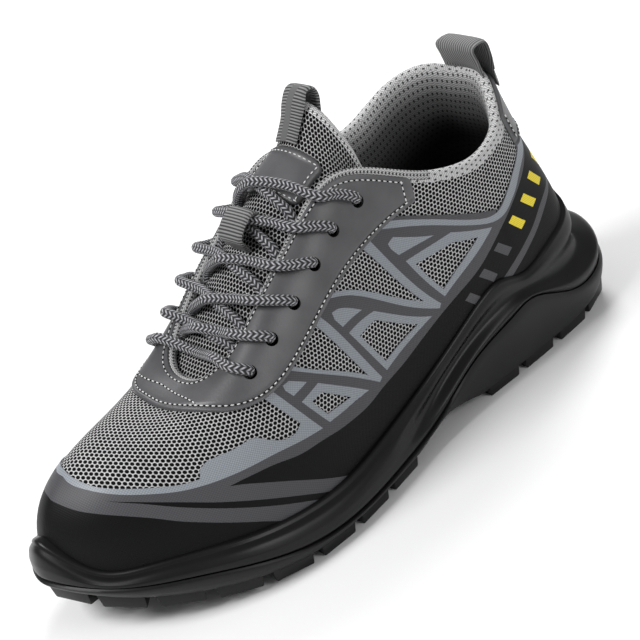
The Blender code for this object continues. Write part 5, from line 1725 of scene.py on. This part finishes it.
seam_t = np.linspace(first_t + 0.25, last_t - 0.2, 300)
seam_deep = UPPER["eyestay"](seam_t)
seam_deep = seam_deep + (LEATHER_LAP - STITCH_INSET) / edge_slant(seam_t, seam_deep)
outer_row = row_on_upper(seam_t, seam_deep, leather_top - 0.3 * MM)
end_rows = [rib_row(seam_t[k], THROAT_INSET, seam_deep[k]) for k in (0, -1)]
throat_row = row_on_upper(seam_t, THROAT_INSET, leather_top)
lens_t = np.linspace(toe_line - LENS_BACK, toe_line + LENS_FRONT, 80)
lens_share = (lens_t - toe_line) / np.where(lens_t < toe_line, LENS_BACK, LENS_FRONT)
lens_deep = STITCH_INSET + LENS_DEPTH * np.cos(lens_share * math.pi / 2) ** 0.8
lens_row = row_on_upper(lens_t, UPPER["eyestay"](lens_t) - lens_deep, leather_top + 0.2 * MM)
tab_row_t = np.linspace(-TAB_SEAM, TAB_SEAM, 90)
tab_row = row_on_upper(tab_row_t, tab_edge(tab_row_t, TAB_DEPTH) - TAB_INSET, leather_top)
tab_sides = [rib_row(t, *TAB_SIDE) for t in (-TAB_SEAM, TAB_SEAM)]
patch_corners = [(along * MM, across * PATCH_HALF * TONGUE_WIDTH * MM) for along, across in PATCH_SEAM]
patch_line = [
    above_tongue(along / MM, 0.5 + across / (TONGUE_WIDTH * MM), leather_top)[0]
    for along, across in cut_line(np.array(patch_corners) / CHART_SIDE, 1 * MM)
]
sewn = [outer_row, throat_row, lens_row, tab_row] + end_rows + tab_sides
sewn = [smooth_through(row[::6], SEWN_STEP) for row in sewn]
stitch_rows("pale_stitches", sewn + [patch_line], STITCH_PITCH, STITCH_LENGTH, THREAD_WIDTH, thread_finish)
# Painted shade: dark dashes half a pitch along, between the pale stitches, in the sunk stitch line.
half_pitch = round(0.5 * STITCH_PITCH / SEWN_STEP)
between = [row[half_pitch:-half_pitch] for row in sewn]
stitch_rows("stitch_groove_shade", between, STITCH_PITCH, STITCH_SHADE_LENGTH, STITCH_SHADE_WIDTH, stitch_shade_finish)

# %% Throat binding
BINDING_RADIUS, BINDING_ROUND, BINDING_SIDES = 2.0 * MM, 12.6 * MM, 12  # and the way round it
BINDING_INSET, BINDING_LAP = 0.7 * MM, 0.4  # the lap past the eyestay's ends in stations
binding_t = np.linspace(first_t - BINDING_LAP, last_t + BINDING_LAP, 320)
inward = upper_normal(binding_t, np.ones(len(binding_t))) * BINDING_INSET
binding_path = upper_point(binding_t, 1) - inward
binding_loops = tube_loops(binding_path, BINDING_RADIUS, BINDING_SIDES)
round_run = np.linspace(0, BINDING_ROUND, BINDING_SIDES + 1)
uv = np.stack(np.meshgrid(run_along(binding_path), round_run, indexing="ij"), -1)
piece("throat_binding", loft("throat_binding", binding_loops, uv), [binding_tape])

# %% [markdown]
# ## Studio
# A pale floor, a large soft key from the upper left, a fill and a rim light from behind. The world is an
# even pale grey, so that the black sole keeps soft highlights along its lip.

# %% Floor, lights and world
FLOOR_SIZE = 9.0
LIGHT_AIM = Vector((0, 0, 0.06))
LIGHTS = (
    ("key", (-0.2, -1.1, 1.3), 0.8, 26),
    ("fill", (1.3, 0.3, 0.8), 0.7, 6),
    ("rim", (-0.7, 0.8, 1.0), 0.6, 12),
)  # place, size and power
WORLD_TONE, WORLD_STRENGTH = (0.95, 0.95, 0.96, 1), 0.32
floor_mesh = bpy.data.meshes.new("floor")
half = FLOOR_SIZE / 2
floor_corners = [(-half, -half, 0), (half, -half, 0), (half, half, 0), (-half, half, 0)]
floor_mesh.from_pydata(floor_corners, [], [(0, 1, 2, 3)])
studio_floor = in_scene("floor", floor_mesh)
floor_finish, floor_tree, floor_shader = new_finish("pale floor", 0.7)
floor_tone = ramp(floor_tree, object_noise(floor_tree, 3, 2), [(0.3, 0.86), (0.7, 0.9)])
floor_tree.links.new(floor_tone, floor_shader.inputs["Base Color"])
floor_mesh.materials.append(floor_finish)
for name, spot, size, power in LIGHTS:
    light = bpy.data.lights.new(name, "AREA")
    light.shape, light.size, light.energy = "DISK", size, power
    way = (Vector(spot) - LIGHT_AIM).to_track_quat("Z", "Y").to_matrix().to_4x4()
    in_scene(name, light).matrix_world = Matrix.Translation(spot) @ way
bpy.context.scene.view_settings.view_transform = "Standard"
world = bpy.data.worlds.new("studio")
bpy.context.scene.world = world
world.use_nodes = True
background = world.node_tree.nodes["Background"].inputs
background[0].default_value, background[1].default_value = WORLD_TONE, WORLD_STRENGTH
print("studio ready")
